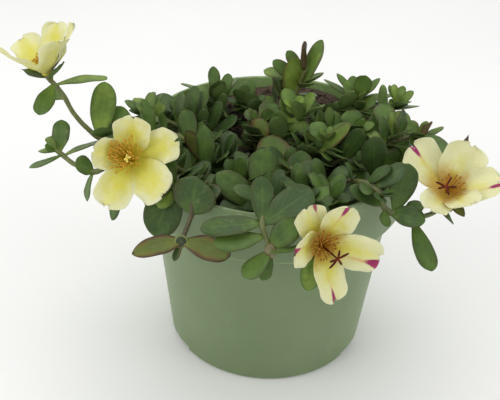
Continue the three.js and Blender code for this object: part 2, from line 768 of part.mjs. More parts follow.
function makeSoil(stems) {
  const collarFoot = POT_HEIGHT - COLLAR_DEPTH;
  const gap = WALL + CLEARANCE;
  const profile = [
    [0, FLOOR + CLEARANCE], [BASE_RADIUS - gap, FLOOR + CLEARANCE],
    [NECK_RADIUS - gap, collarFoot - 2], [COLLAR_FOOT_RADIUS - gap, collarFoot + 2.4],
    [COLLAR_FOOT_RADIUS - gap + 0.2, SOIL_LEVEL - 1], [52, SOIL_LEVEL], [39, SOIL_LEVEL + 0.2],
    [26, SOIL_LEVEL + 0.3], [13, SOIL_LEVEL + 0.4], [0, SOIL_LEVEL + 0.5],
  ];
  const geometry = turned(profile, SOIL_SIDES);
  const position = geometry.getAttribute('position');
  for (let k = 0; k < position.count; k += 1) {
    const [x, y, z] = [position.getX(k), position.getY(k), position.getZ(k)];
    if (z > SOIL_LEVEL - 0.5) position.setZ(k, z + soilRelief(x, y));
  }
  let soil = toSolid(geometry);
  for (const stem of stems) {
    const hole = new THREE.CylinderGeometry(HOLE_RADIUS, HOLE_RADIUS, HOLE_CUT, 5);
    hole.rotateX(Math.PI / 2);
    hole.translate(...stem.root, STEM_FOOT - CLEARANCE + HOLE_CUT / 2);
    soil = soil.subtract(toSolid(hole));
  }
  return soil;
}

// ---------------------------------------------------------------- blooms
const PETAL_ROOT = 1.6;
const PETAL_FORM = { roll: 0, arch: -0.05, cup: 0.18 };
const DISC = { radius: 2.8, half: 0.7 };
const RING = { inner: 1.0, outer: 1.7, low: DISC.half + CLEARANCE, high: 2.2, seat: 1.5, middle: 1.3 };
const STAMEN = { length: 5, lengthPlay: 1.4, anther: 0.8, radii: [0.35, 0.35, 0.7] };
const LEAN = { most: 48, petalRoom: 24 };
const STYLE = { foot: DISC.half + CLEARANCE, waist: 2.4, radii: [0.6, 0.45, 0.4], armRadii: [0.4, 0.35] };
const STAR = { height: 9.5, reach: 5, arms: 5 };
const STUB = { height: 8.5, reach: 2, arms: 4 };

function bloomAxes(bloom) {
  const axis = heading(...bloom.facing);
  const right = new THREE.Vector3().crossVectors(UP, axis).normalize();
  const over = new THREE.Vector3().crossVectors(axis, right);
  const out = (turn) => {
    const ray = right.clone().multiplyScalar(Math.cos(rad(turn)));
    return ray.addScaledVector(over, Math.sin(rad(turn)));
  };
  return { centre: vec(bloom.centre), axis, out };
}

function petalBlade(bloom, [turn, rise, length, width]) {
  const { centre, axis, out } = bloomAxes(bloom);
  const ray = out(turn);
  const e = rad(rise);
  return new Blade({
    root: plus(centre, ray, PETAL_ROOT),
    axis: ray.clone().multiplyScalar(Math.cos(e)).addScaledVector(axis, Math.sin(e)),
    face: ray.clone().multiplyScalar(-Math.sin(e)).addScaledVector(axis, Math.cos(e)),
    length, width, ...PETAL_FORM, outline: PETAL_OUTLINE,
  });
}

function makePetals(bloom) {
  const { centre, axis } = bloomAxes(bloom);
  const faces = [-DISC.half, DISC.half].map((s) => plus(centre, axis, s));
  const disc = rod(faces, [DISC.radius, DISC.radius], 8);
  return fuse([disc, ...bloom.petals.map((row) => petalSolid(petalBlade(bloom, row)))]);
}

// how far the stamens may lean at this turn without meeting the petals beside them
function stamenLean(bloom, turn) {
  const near = bloom.petals.filter((row) => Math.cos(rad(row[0] - turn)) > 0.2);
  const steepest = Math.max(...near.map((row) => row[1]));
  return Math.min(LEAN.most, 90 - LEAN.petalRoom - steepest);
}

function makeStamens(bloom, seed) {
  const { centre, axis, out } = bloomAxes(bloom);
  const dice = new Dice(seed);
  const { inner, outer, low, high } = RING;
  const profile = [[inner, low], [outer, low], [inner, high], [inner, low]];
  const ring = turned(profile, STAMENS);
  ring.applyQuaternion(new THREE.Quaternion().setFromUnitVectors(UP, axis));
  ring.translate(...bloom.centre);
  const stamens = Array.from({ length: STAMENS }, (_, k) => {
    const turn = (360 * k) / STAMENS + 12 * dice.next();
    const lean = rad(stamenLean(bloom, turn) * (0.45 + 0.5 * dice.next()));
    const length = STAMEN.length + STAMEN.lengthPlay * dice.next();
    const root = plus(centre, axis, RING.seat).addScaledVector(out(turn), RING.middle);
    const line = axis.clone().multiplyScalar(Math.cos(lean)).addScaledVector(out(turn), Math.sin(lean));
    const anther = plus(root, line, length - STAMEN.anther);
    return rod([root, anther, plus(root, line, length)], STAMEN.radii, 3);
  });
  return fuse([toSolid(ring), ...stamens]);
}

function makePistil(bloom) {
  const { centre, axis, out } = bloomAxes(bloom);
  const { height, reach, arms } = bloom.star ? STAR : STUB;
  const at = (s) => plus(centre, axis, s);
  const column = rod([at(STYLE.foot), at(STYLE.waist), at(height)], STYLE.radii, 5);
  const spread = Array.from({ length: arms }, (_, k) => {
    const end = plus(at(height + 0.2), out((360 * k) / arms + 20), reach);
    return rod([at(height - 0.6), end], STYLE.armRadii, 3);
  });
  return fuse([column, ...spread]);
}

// ---------------------------------------------------------------- stems with their leaves
const RECEPTACLE = { below: 5, top: 1, neck: 1.1, shoulder: 2.4 };
const CUT_END = { facing: [-88, 30], radius: 2, thickness: 2 };
const BUD_RADIUS = 2.6;

function makeTip(kind, place) {
  if (kind === 'bud') {
    const bud = new THREE.SphereGeometry(BUD_RADIUS, 8, 6);
    bud.translate(...place.toArray());
    return toSolid(bud);
  }
  const out = heading(...CUT_END.facing);
  const ends = [plus(place, out, -CUT_END.thickness / 2), plus(place, out, CUT_END.thickness / 2)];
  return rod(ends, [CUT_END.radius * 0.7, CUT_END.radius], 8);
}

function makeStem(stem, plant) {
  const curve = plant.curves.get(stem.name);
  const joints = curve.points.length - 1;
  const shares = [0];
  for (let k = 0; k < joints; k += 1) {
    const stretch = curve.points[k].distanceTo(curve.points[k + 1]);
    if (k > 1 && stretch > LONG_STRETCH) shares.push((k + 0.5) / joints);
    shares.push((k + 1) / joints);
  }
  const radii = shares.map((t) => stem.radii[0] + (stem.radii[1] - stem.radii[0]) * t);
  const pieces = [rod(shares.map((t) => curve.getPoint(t)), radii, STEM_SIDES)];
  for (const { owner, blade } of plant.blades) {
    if (owner === stem.name) pieces.push(leafSolid(blade));
  }
  if (stem.tip) pieces.push(makeTip(stem.tip, curve.getPoint(1)));
  const bloom = BLOOMS.find((b) => stem.name === `stem_${b.name}_bloom`);
  if (bloom) {
    const { centre, axis } = bloomAxes(bloom);
    const ends = [RECEPTACLE.below, RECEPTACLE.top].map((s) => plus(centre, axis, -s));
    pieces.push(rod(ends, [RECEPTACLE.neck, RECEPTACLE.shoulder], 8));
  }
  return fuse(pieces);
}

// ---------------------------------------------------------------- the whole plant
const FIRST_SEED = 4801;

const plant = new Plant(STEMS);
for (const bloom of BLOOMS) {
  for (const row of bloom.petals) {
    plant.blades.push({ owner: `petals_${bloom.name}`, blade: petalBlade(bloom, row) });
  }
}
for (const stem of STEMS) {
  for (const [t, azimuth, rise, length, width, roll, arch] of stem.leaves) {
    plant.place(stem.name, t, heading(azimuth, rise), length, width, roll, arch);
  }
}
STEMS.forEach((stem, k) => plant.growFillers(stem, FIRST_SEED * (k + 1)));

const group = new THREE.Group();
group.add(toMesh('pot', makePot(), '#8a9c7e', 0.6));
group.add(toMesh('soil', makeSoil(STEMS), '#3b342f', 0.95));
for (const stem of STEMS) {
  group.add(toMesh(stem.name, makeStem(stem, plant), '#5d7a45', 0.5));
}
BLOOMS.forEach((bloom, k) => {
  group.add(toMesh(`petals_${bloom.name}`, makePetals(bloom), '#ece7a4', 0.55));
  group.add(toMesh(`stamens_${bloom.name}`, makeStamens(bloom, 31 + k), '#d99a2b', 0.6));
  group.add(toMesh(`pistil_${bloom.name}`, makePistil(bloom), bloom.star ? '#6e1f16' : '#e3c94a', 0.5));
});

export default group;
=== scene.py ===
import math
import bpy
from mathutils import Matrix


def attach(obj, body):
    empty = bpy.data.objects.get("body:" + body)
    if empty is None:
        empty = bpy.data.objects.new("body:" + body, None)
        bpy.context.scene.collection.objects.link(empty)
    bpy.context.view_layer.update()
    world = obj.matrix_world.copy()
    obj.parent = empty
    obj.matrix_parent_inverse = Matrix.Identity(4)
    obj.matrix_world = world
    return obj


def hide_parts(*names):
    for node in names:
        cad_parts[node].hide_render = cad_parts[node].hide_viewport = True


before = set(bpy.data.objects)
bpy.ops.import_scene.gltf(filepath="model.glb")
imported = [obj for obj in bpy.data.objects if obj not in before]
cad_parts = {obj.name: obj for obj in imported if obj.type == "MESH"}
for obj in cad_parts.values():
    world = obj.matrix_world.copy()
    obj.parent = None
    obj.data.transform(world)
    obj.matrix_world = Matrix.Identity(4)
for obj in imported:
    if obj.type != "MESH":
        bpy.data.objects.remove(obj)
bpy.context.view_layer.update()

from types import SimpleNamespace

import bpy
import numpy as np
from mathutils import Matrix, Vector

# ---------------------------------------------------------------- the pot
# The real piece is a round 13 cm nursery pot with a deep collar, stepped out so that pots
# stack, and three drainage notches where the wall meets the base. It is injection-moulded
# in one shot from thin sage-green polypropylene, so it has no seams, only a faint haze.
MM = 0.001
POT_OUTLINE = [  # radius, height, how much of its corner is rounded off
    (0, 0, 0), (48, 0, 0.8), (49.2, 1.4, 0.9), (58.3, 83, 1.2), (63.4, 83, 0.5), (64, 83.8, 0.5),
    (65, 109.4, 0.5), (64.5, 110, 0.4), (63.5, 109.7, 0.4), (62.5, 85, 1.5), (56.8, 81, 1.5),
    (47.7, 4, 2.5), (0, 4, 0),
]
POT_STEP = 9
POT_SIDES = 180
POT_CREASE = 32
# a drain is a notch in the foot of the wall and a slot in the base behind it, in mm
DRAIN_ANGLES = (-30, 90, 210)
NOTCH = dict(centre=47.7, size=(7, 15, 6.4))
SLOT = dict(centre=45.7, size=(3, 7.5, 20))
POT_PLASTIC = dict(plain="#71845d", deep="#667656", haze="#7d8f68", scuff="#93a284")


def paint(code):
    """An sRGB hex colour as the linear colour that a socket takes."""
    shares = [int(code[k:k + 2], 16) / 255 for k in (1, 3, 5)]
    return [c / 12.92 if c <= 0.04045 else ((c + 0.055) / 1.055) ** 2.4 for c in shares] + [1]


def node(tree, kind, inputs=(), output=0, **settings):
    """Adds one node with its settings, sets or links its inputs, and returns one of its outputs."""
    new = tree.nodes.new(kind)
    for name, value in settings.items():
        setattr(new, name, value)
    for name, value in inputs.items() if isinstance(inputs, dict) else enumerate(inputs):
        if isinstance(value, Field):
            tree.links.new(value.socket, new.inputs[name])
        else:
            new.inputs[name].default_value = value
    return Field(new.outputs[output]) if new.outputs else None


def calc(operation, *values):
    """One step of arithmetic, on numbers or on vectors."""
    socket = next(value.socket for value in values if isinstance(value, Field))
    kind = "ShaderNodeMath" if socket.type == "VALUE" else "ShaderNodeVectorMath"
    return node(socket.id_data, kind, values, operation=operation)


class Field:
    """A node's output, which the usual signs of arithmetic can be used on."""

    def __init__(self, socket):
        self.socket = socket

    def __add__(self, other):
        return calc("ADD", self, other)

    def __sub__(self, other):
        return calc("SUBTRACT", self, other)

    def __rsub__(self, other):
        return calc("SUBTRACT", other, self)

    def __mul__(self, other):
        return calc("MULTIPLY", self, other)

    def __pow__(self, other):
        return calc("POWER", self, other)

    def __gt__(self, other):
        return calc("GREATER_THAN", self, other)

    def __lt__(self, other):
        return calc("LESS_THAN", self, other)

    def __abs__(self):
        return calc("ABSOLUTE", self)

    def outputs(self):
        """All the outputs of its node, in order."""
        return [Field(socket) for socket in self.socket.node.outputs if socket.name]


def fade(value, start, end):
    """Runs smoothly from 0 at start to 1 at end."""
    tree = value.socket.id_data
    return node(tree, "ShaderNodeMapRange", (value, start, end), interpolation_type="SMOOTHSTEP")


def coats(palette, ground, *layers):
    """A colour of the palette with others laid over it in turn, each where its share says."""
    colour = paint(palette[ground])
    for share, over in layers:
        over = paint(palette[over]) if isinstance(over, str) else over
        tree = share.socket.id_data
        colour = node(tree, "ShaderNodeMix", {0: share, 6: colour, 7: over}, 2, data_type="RGBA")
    return colour


def speckle(tree, lump, detail=2, squash=(1, 1, 1)):
    """Noise in the piece's own space, in lumps of that many millimetres."""
    spot = node(tree, "ShaderNodeTexCoord", output="Object")
    spot = node(tree, "ShaderNodeMapping", {"Vector": spot, "Scale": squash})
    return node(tree, "ShaderNodeTexNoise", {"Vector": spot, "Scale": 1 / (lump * MM), "Detail": detail})


def finish(name):
    """A new material with an empty node tree."""
    made = bpy.data.materials.new(name)
    made.use_nodes = True
    made.node_tree.nodes.clear()
    return made, made.node_tree


def surface(tree, inputs, relief, depth, strength):
    """Closes a material with its shader, on a relief that is depth millimetres deep."""
    bump = {"Height": relief, "Distance": depth * MM, "Strength": strength}
    normal = node(tree, "ShaderNodeBump", bump)
    shader = node(tree, "ShaderNodeBsdfPrincipled", {**inputs, "Normal": normal})
    node(tree, "ShaderNodeOutputMaterial", [shader])


def round_corners(outline, steps=5):
    """The outline with every corner replaced by a short arc."""
    points = np.array([row[:2] for row in outline], float)
    rounded = [points[0]]
    for k in range(1, len(points) - 1):
        before, corner, after = points[k - 1:k + 2]
        ends = []
        for end in (before, after):
            reach = np.linalg.norm(end - corner)
            ends.append(corner + (end - corner) * min(outline[k][2], 0.45 * reach) / reach)
        for s in np.linspace(0, 1, steps):
            rounded.append((1 - s) ** 2 * ends[0] + 2 * s * (1 - s) * corner + s * s * ends[1])
    return rounded + [points[-1]]


def split_long(outline, longest):
    """The outline with points added so that no step is longer than that."""
    split = [outline[0]]
    for start, end in zip(outline, outline[1:]):
        steps = max(1, math.ceil(np.linalg.norm(end - start) / longest))
        split += [start + (end - start) * (s + 1) / steps for s in range(steps)]
    return split


def turned(outline, sides):
    """A mesh turned round Z from an outline that starts and ends on the axis."""
    points = [(0, 0, outline[0][1])]
    for r, z in outline[1:-1]:
        for k in range(sides):
            angle = 2 * math.pi * k / sides
            points.append((r * math.cos(angle), r * math.sin(angle), z))
    points.append((0, 0, outline[-1][1]))
    last = len(points) - 1
    faces = [(0, 1 + (k + 1) % sides, 1 + k) for k in range(sides)]
    for ring in range(len(outline) - 3):
        low = 1 + ring * sides
        for k in range(sides):
            a, b = low + k, low + (k + 1) % sides
            faces.append((a, b, b + sides, a + sides))
    top = last - sides
    faces += [(top + k, top + (k + 1) % sides, last) for k in range(sides)]
    mesh = bpy.data.meshes.new("turned")
    mesh.from_pydata([[v * MM for v in p] for p in points], [], faces)
    return mesh


def place(name, mesh):
    """Puts a mesh in the scene at the origin."""
    piece = bpy.data.objects.new(name, mesh)
    bpy.context.scene.collection.objects.link(piece)
    return piece


def applied(name, rough, *helpers):
    """The rough piece with its modifiers applied, as a plain one; the rough one is removed."""
    bpy.context.view_layer.update()
    dressed = rough.evaluated_get(bpy.context.evaluated_depsgraph_get())
    plain = bpy.data.meshes.new_from_object(dressed)
    for helper in (rough, *helpers):
        bpy.data.objects.remove(helper)
    return place(name, plain)


def drain_boxes(centre, size):
    """One mesh of upright boxes, one for each drain, set round the axis at that distance."""
    points, faces = [], []
    sides = ((0, 1, 3, 2), (4, 6, 7, 5), (0, 4, 5, 1), (2, 3, 7, 6), (0, 2, 6, 4), (1, 5, 7, 3))
    halves = (-0.5, 0.5)
    for angle in DRAIN_ANGLES:
        first = len(points)
        turn = Matrix.Rotation(math.radians(angle), 3, "Z")
        corners = [(x, y, z) for x in halves for y in halves for z in halves]
        for x, y, z in corners:
            corner = Vector((centre + x * size[0], y * size[1], z * size[2]))
            points.append(turn @ corner * MM)
        faces += [[first + n for n in side] for side in sides]
    mesh = bpy.data.meshes.new("drain_boxes")
    mesh.from_pydata(points, [], faces)
    return mesh


def smooth(mesh, degrees=180):
    """Smooth shading, kept sharp where faces meet at more than that angle."""
    mesh.polygons.foreach_set("use_smooth", [True] * len(mesh.polygons))
    if degrees < 180:
        mesh.set_sharp_from_angle(angle=math.radians(degrees))


# moulded polypropylene: an even colour with a cloudy haze, fine flow lines up the wall, and
# paler scuffs where the collar rubs against other pots
pot_plastic, tree = finish("moulded_polypropylene")
height = node(tree, "ShaderNodeSeparateXYZ", [node(tree, "ShaderNodeTexCoord", output="Object")], 2)
cloud = fade(speckle(tree, 35.7, 4), 0.35, 0.7)
streak = fade(speckle(tree, 11.1, 3, (1, 1, 0.06)), 0.45, 0.75)
scuffs = fade(speckle(tree, 2.38, 3, (1, 1, 2.5)), 0.56, 0.68) * fade(height, 98 * MM, 110 * MM)
surface(tree, {
    "Base Color": coats(
        POT_PLASTIC, "plain", (cloud * 0.5, "haze"), (streak * 0.22, "deep"), (scuffs * 0.5, "scuff"),
    ),
    "Roughness": speckle(tree, 16.7, 3) * 0.2 + 0.36,
    "Specular IOR Level": 0.42,
    "Subsurface Weight": 0.7,
    "Subsurface Radius": (1.0, 1.1, 0.8),
    "Subsurface Scale": 6 * MM,
}, speckle(tree, 0.3125) + speckle(tree, 6.25, 3, (1, 1, 0.1)) * 1.4, 0.06, 0.5)

rough_pot = place("rough_pot", turned(split_long(round_corners(POT_OUTLINE), POT_STEP), POT_SIDES))
smooth(rough_pot.data)
cutters = []
for cut in (NOTCH, SLOT):
    cutters.append(place("cutter", drain_boxes(**cut)))
    opening = rough_pot.modifiers.new("drainage", "BOOLEAN")
    opening.object = cutters[-1]
    opening.operation = "DIFFERENCE"
    opening.solver = "EXACT"
pot = applied("nursery_pot", rough_pot, *cutters)
smooth(pot.data, POT_CREASE)
pot.data.materials.clear()
pot.data.materials.append(pot_plastic)
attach(pot, "root")
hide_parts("pot")

# ---------------------------------------------------------------- the potting soil
# The real filling is a dark peat mix, loose and damp, with crumbs of peat, flakes of bark and
# white grains of perlite on its top. It lies against the pot's wall and holds the stems.
SOIL_OUTLINE = [
    (0, 4.3, 0), (47.4, 4.3, 0), (56.5, 81, 0), (62.2, 85.4, 0), (62.4, 95, 1), (52, 96, 0),
    (39, 96.2, 0), (26, 96.3, 0), (13, 96.4, 0), (0, 96.5, 0),
]
SOIL_STEP = 1.6
SOIL_SIDES = 96
SOIL_CREASE = 60
SOIL_LEVEL = 96
CRUMBS_REACH = 60.5
# the bank at the back: radii of its foot and top, heights where it starts and is full, its own
# height, and where it lies round the pot
BANK = dict(foot=40, top=60, start=86, full=95, height=11.5, angle=76)
# how far it spreads outward for each millimetre that it rises, as a share of the radius
BANK_SPREAD = 0.0006
# the lumps of the soil's top, and the knobs on each crumb
LUMP_WIDTH = 1 / 0.26
KNOB_WIDTH = 1 / 0.9
KNOB_HEIGHT = 1.8
PEAT = dict(dark="#33291f", plain="#514235", pale="#75624e")
BARK = dict(dark="#3b2a1e", plain="#3b2a1e", pale="#7a5c40")
PERLITE = dict(dark="#b7b1a2", plain="#d9d5c8", pale="#d9d5c8")


def growth_tree(name, sizes, counts=()):
    """A geometry tree with named inputs for its sizes and counts, and those inputs by name."""
    tree = bpy.data.node_groups.new(name, "GeometryNodeTree")
    tree.interface.new_socket("Geometry", in_out="INPUT", socket_type="NodeSocketGeometry")
    for label in sizes:
        tree.interface.new_socket(label, in_out="INPUT", socket_type="NodeSocketFloat")
    for label in counts:
        tree.interface.new_socket(label, in_out="INPUT", socket_type="NodeSocketInt")
    tree.interface.new_socket("Geometry", in_out="OUTPUT", socket_type="NodeSocketGeometry")
    inputs = node(tree, "NodeGroupInput").outputs()
    return tree, {field.socket.name: field for field in inputs}


def grown(name, mesh, tree, sizes):
    """Grows a piece from its bare mesh with a tree, and returns it as a plain mesh object."""
    bare = place("bare", mesh)
    modifier = bare.modifiers.new("growth", "NODES")
    modifier.node_group = tree
    for item in tree.interface.items_tree:
        if item.in_out == "INPUT" and item.name in sizes:
            modifier[item.identifier] = sizes[item.name]
    return applied(name, bare)


def finish_tree(tree, parts):
    """Ends a tree: its parts joined, and their instances made real."""
    joined = node(tree, "GeometryNodeJoinGeometry")
    for part in parts:
        tree.links.new(part.socket, joined.socket.node.inputs[0])
    node(tree, "NodeGroupOutput", [node(tree, "GeometryNodeRealizeInstances", [joined])])


def loose_finish(name, palette, rough):
    """A dull, damp, crumbly finish in three colours."""
    made, tree = finish(name)
    body = fade(speckle(tree, 1.43, 4), 0.3, 0.62)
    flecks = fade(speckle(tree, 0.385), 0.58, 0.7)
    surface(tree, {
        "Base Color": coats(palette, "dark", (body, "plain"), (flecks * 0.6, "pale")),
        "Roughness": flecks * 0.2 + rough,
        "Specular IOR Level": 0.3,
    }, speckle(tree, 0.667, 5), 0.6, 0.9)
    return made


# peat is dark and fibrous, bark is redder in broken flakes, and perlite is chalky white
peat = loose_finish("damp_peat", PEAT, 0.7)
bark = loose_finish("bark_flake", BARK, 0.75)
perlite = loose_finish("perlite_grain", PERLITE, 0.8)

tree, size = growth_tree("crumbled_soil", ["Crumbs", "Flakes", "Grains", "Crumb size", "Lumps"])
spot = node(tree, "GeometryNodeInputPosition")
x, y, z = node(tree, "ShaderNodeSeparateXYZ", [spot]).outputs()
on_top = fade(z, (SOIL_LEVEL - 1.6) * MM, (SOIL_LEVEL - 0.6) * MM)
lumps = node(tree, "ShaderNodeTexNoise", {"Vector": spot, "Scale": 1 / (LUMP_WIDTH * MM), "Detail": 4})
lift = node(tree, "ShaderNodeCombineXYZ", {2: (lumps - 0.5) * (size["Lumps"] * on_top)})
ground = node(tree, "GeometryNodeSetPosition", {"Geometry": size["Geometry"], "Offset": lift})
ground = node(tree, "GeometryNodeSetMaterial", {"Geometry": ground, "Material": peat})
reach = (x * x + y * y) ** 0.5
open_top = (z > (SOIL_LEVEL - 2) * MM) * (reach < CRUMBS_REACH * MM)
parts = [ground]
for seed, (count, finish_of, squash, scale) in enumerate((
    ("Crumbs", peat, (1, 1.2, 0.8), 1),
    ("Flakes", bark, (2.6, 1, 0.4), 1),
    ("Grains", perlite, (1, 0.9, 0.8), 1.1),
)):
    scatter = {"Mesh": ground, "Selection": open_top, "Density": size[count], "Seed": 11 + seed}
    points = node(tree, "GeometryNodeDistributePointsOnFaces", scatter)
    crumb = node(tree, "GeometryNodeMeshIcoSphere", {"Radius": size["Crumb size"], "Subdivisions": 2})
    knobs = node(tree, "ShaderNodeTexNoise", {
        "Vector": node(tree, "GeometryNodeInputPosition"), "Scale": 1 / (KNOB_WIDTH * MM), "W": seed,
    }, output=1, noise_dimensions="4D")
    knobs = (knobs - (0.5, 0.5, 0.5)) * [KNOB_HEIGHT * MM * s for s in squash]
    crumb = node(tree, "GeometryNodeTransform", {"Geometry": crumb, "Scale": squash})
    crumb = node(tree, "GeometryNodeSetPosition", {"Geometry": crumb, "Offset": knobs})
    turns = {0: (-0.5, -0.5, 0), 1: (0.5, 0.5, 6.3), "Seed": 21 + seed}
    grades = {2: 0.35 * scale, 3: 1.1 * scale, "Seed": 31 + seed}
    crumbs = node(tree, "GeometryNodeInstanceOnPoints", {
        "Points": points,
        "Instance": crumb,
        "Rotation": node(tree, "FunctionNodeRandomValue", turns, data_type="FLOAT_VECTOR"),
        "Scale": node(tree, "FunctionNodeRandomValue", grades, output=1, data_type="FLOAT"),
    })
    crumbs = node(tree, "GeometryNodeRealizeInstances", [crumbs])
    parts.append(node(tree, "GeometryNodeSetMaterial", {"Geometry": crumbs, "Material": finish_of}))
finish_tree(tree, parts)

soil_bed = turned(split_long(round_corners(SOIL_OUTLINE), SOIL_STEP), SOIL_SIDES)
for vertex in soil_bed.vertices:
    x, y, z = (v / MM for v in vertex.co)
    if z > SOIL_LEVEL - 0.5:
        broad = 0.5 * math.sin(0.35 * x + 1) * math.cos(0.31 * y - 0.5)
        vertex.co.z += (broad + 0.3 * math.sin(0.9 * x - 0.7 * y)) * MM
    if z > BANK["start"]:
        # the soil is banked up against the wall at the back
        outward = math.hypot(x, y) - BANK["foot"]
        slope = min(max(outward / (BANK["top"] - BANK["foot"]), 0), 1)
        facing = max(math.cos(math.atan2(y, x) - math.radians(BANK["angle"])), 0)
        rise = min((z - BANK["start"]) / (BANK["full"] - BANK["start"]), 1)
        bank = BANK["height"] * slope ** 1.5 * facing ** 3 * rise
        vertex.co += Vector((x * BANK_SPREAD, y * BANK_SPREAD, 1)) * bank * MM
soil = grown("potting_soil", soil_bed, tree, {
    "Crumbs": 90000.0, "Flakes": 16000.0, "Grains": 9000.0, "Crumb size": 1.1 * MM, "Lumps": 3 * MM,
})
smooth(soil.data, SOIL_CREASE)
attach(soil, "root")
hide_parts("soil")

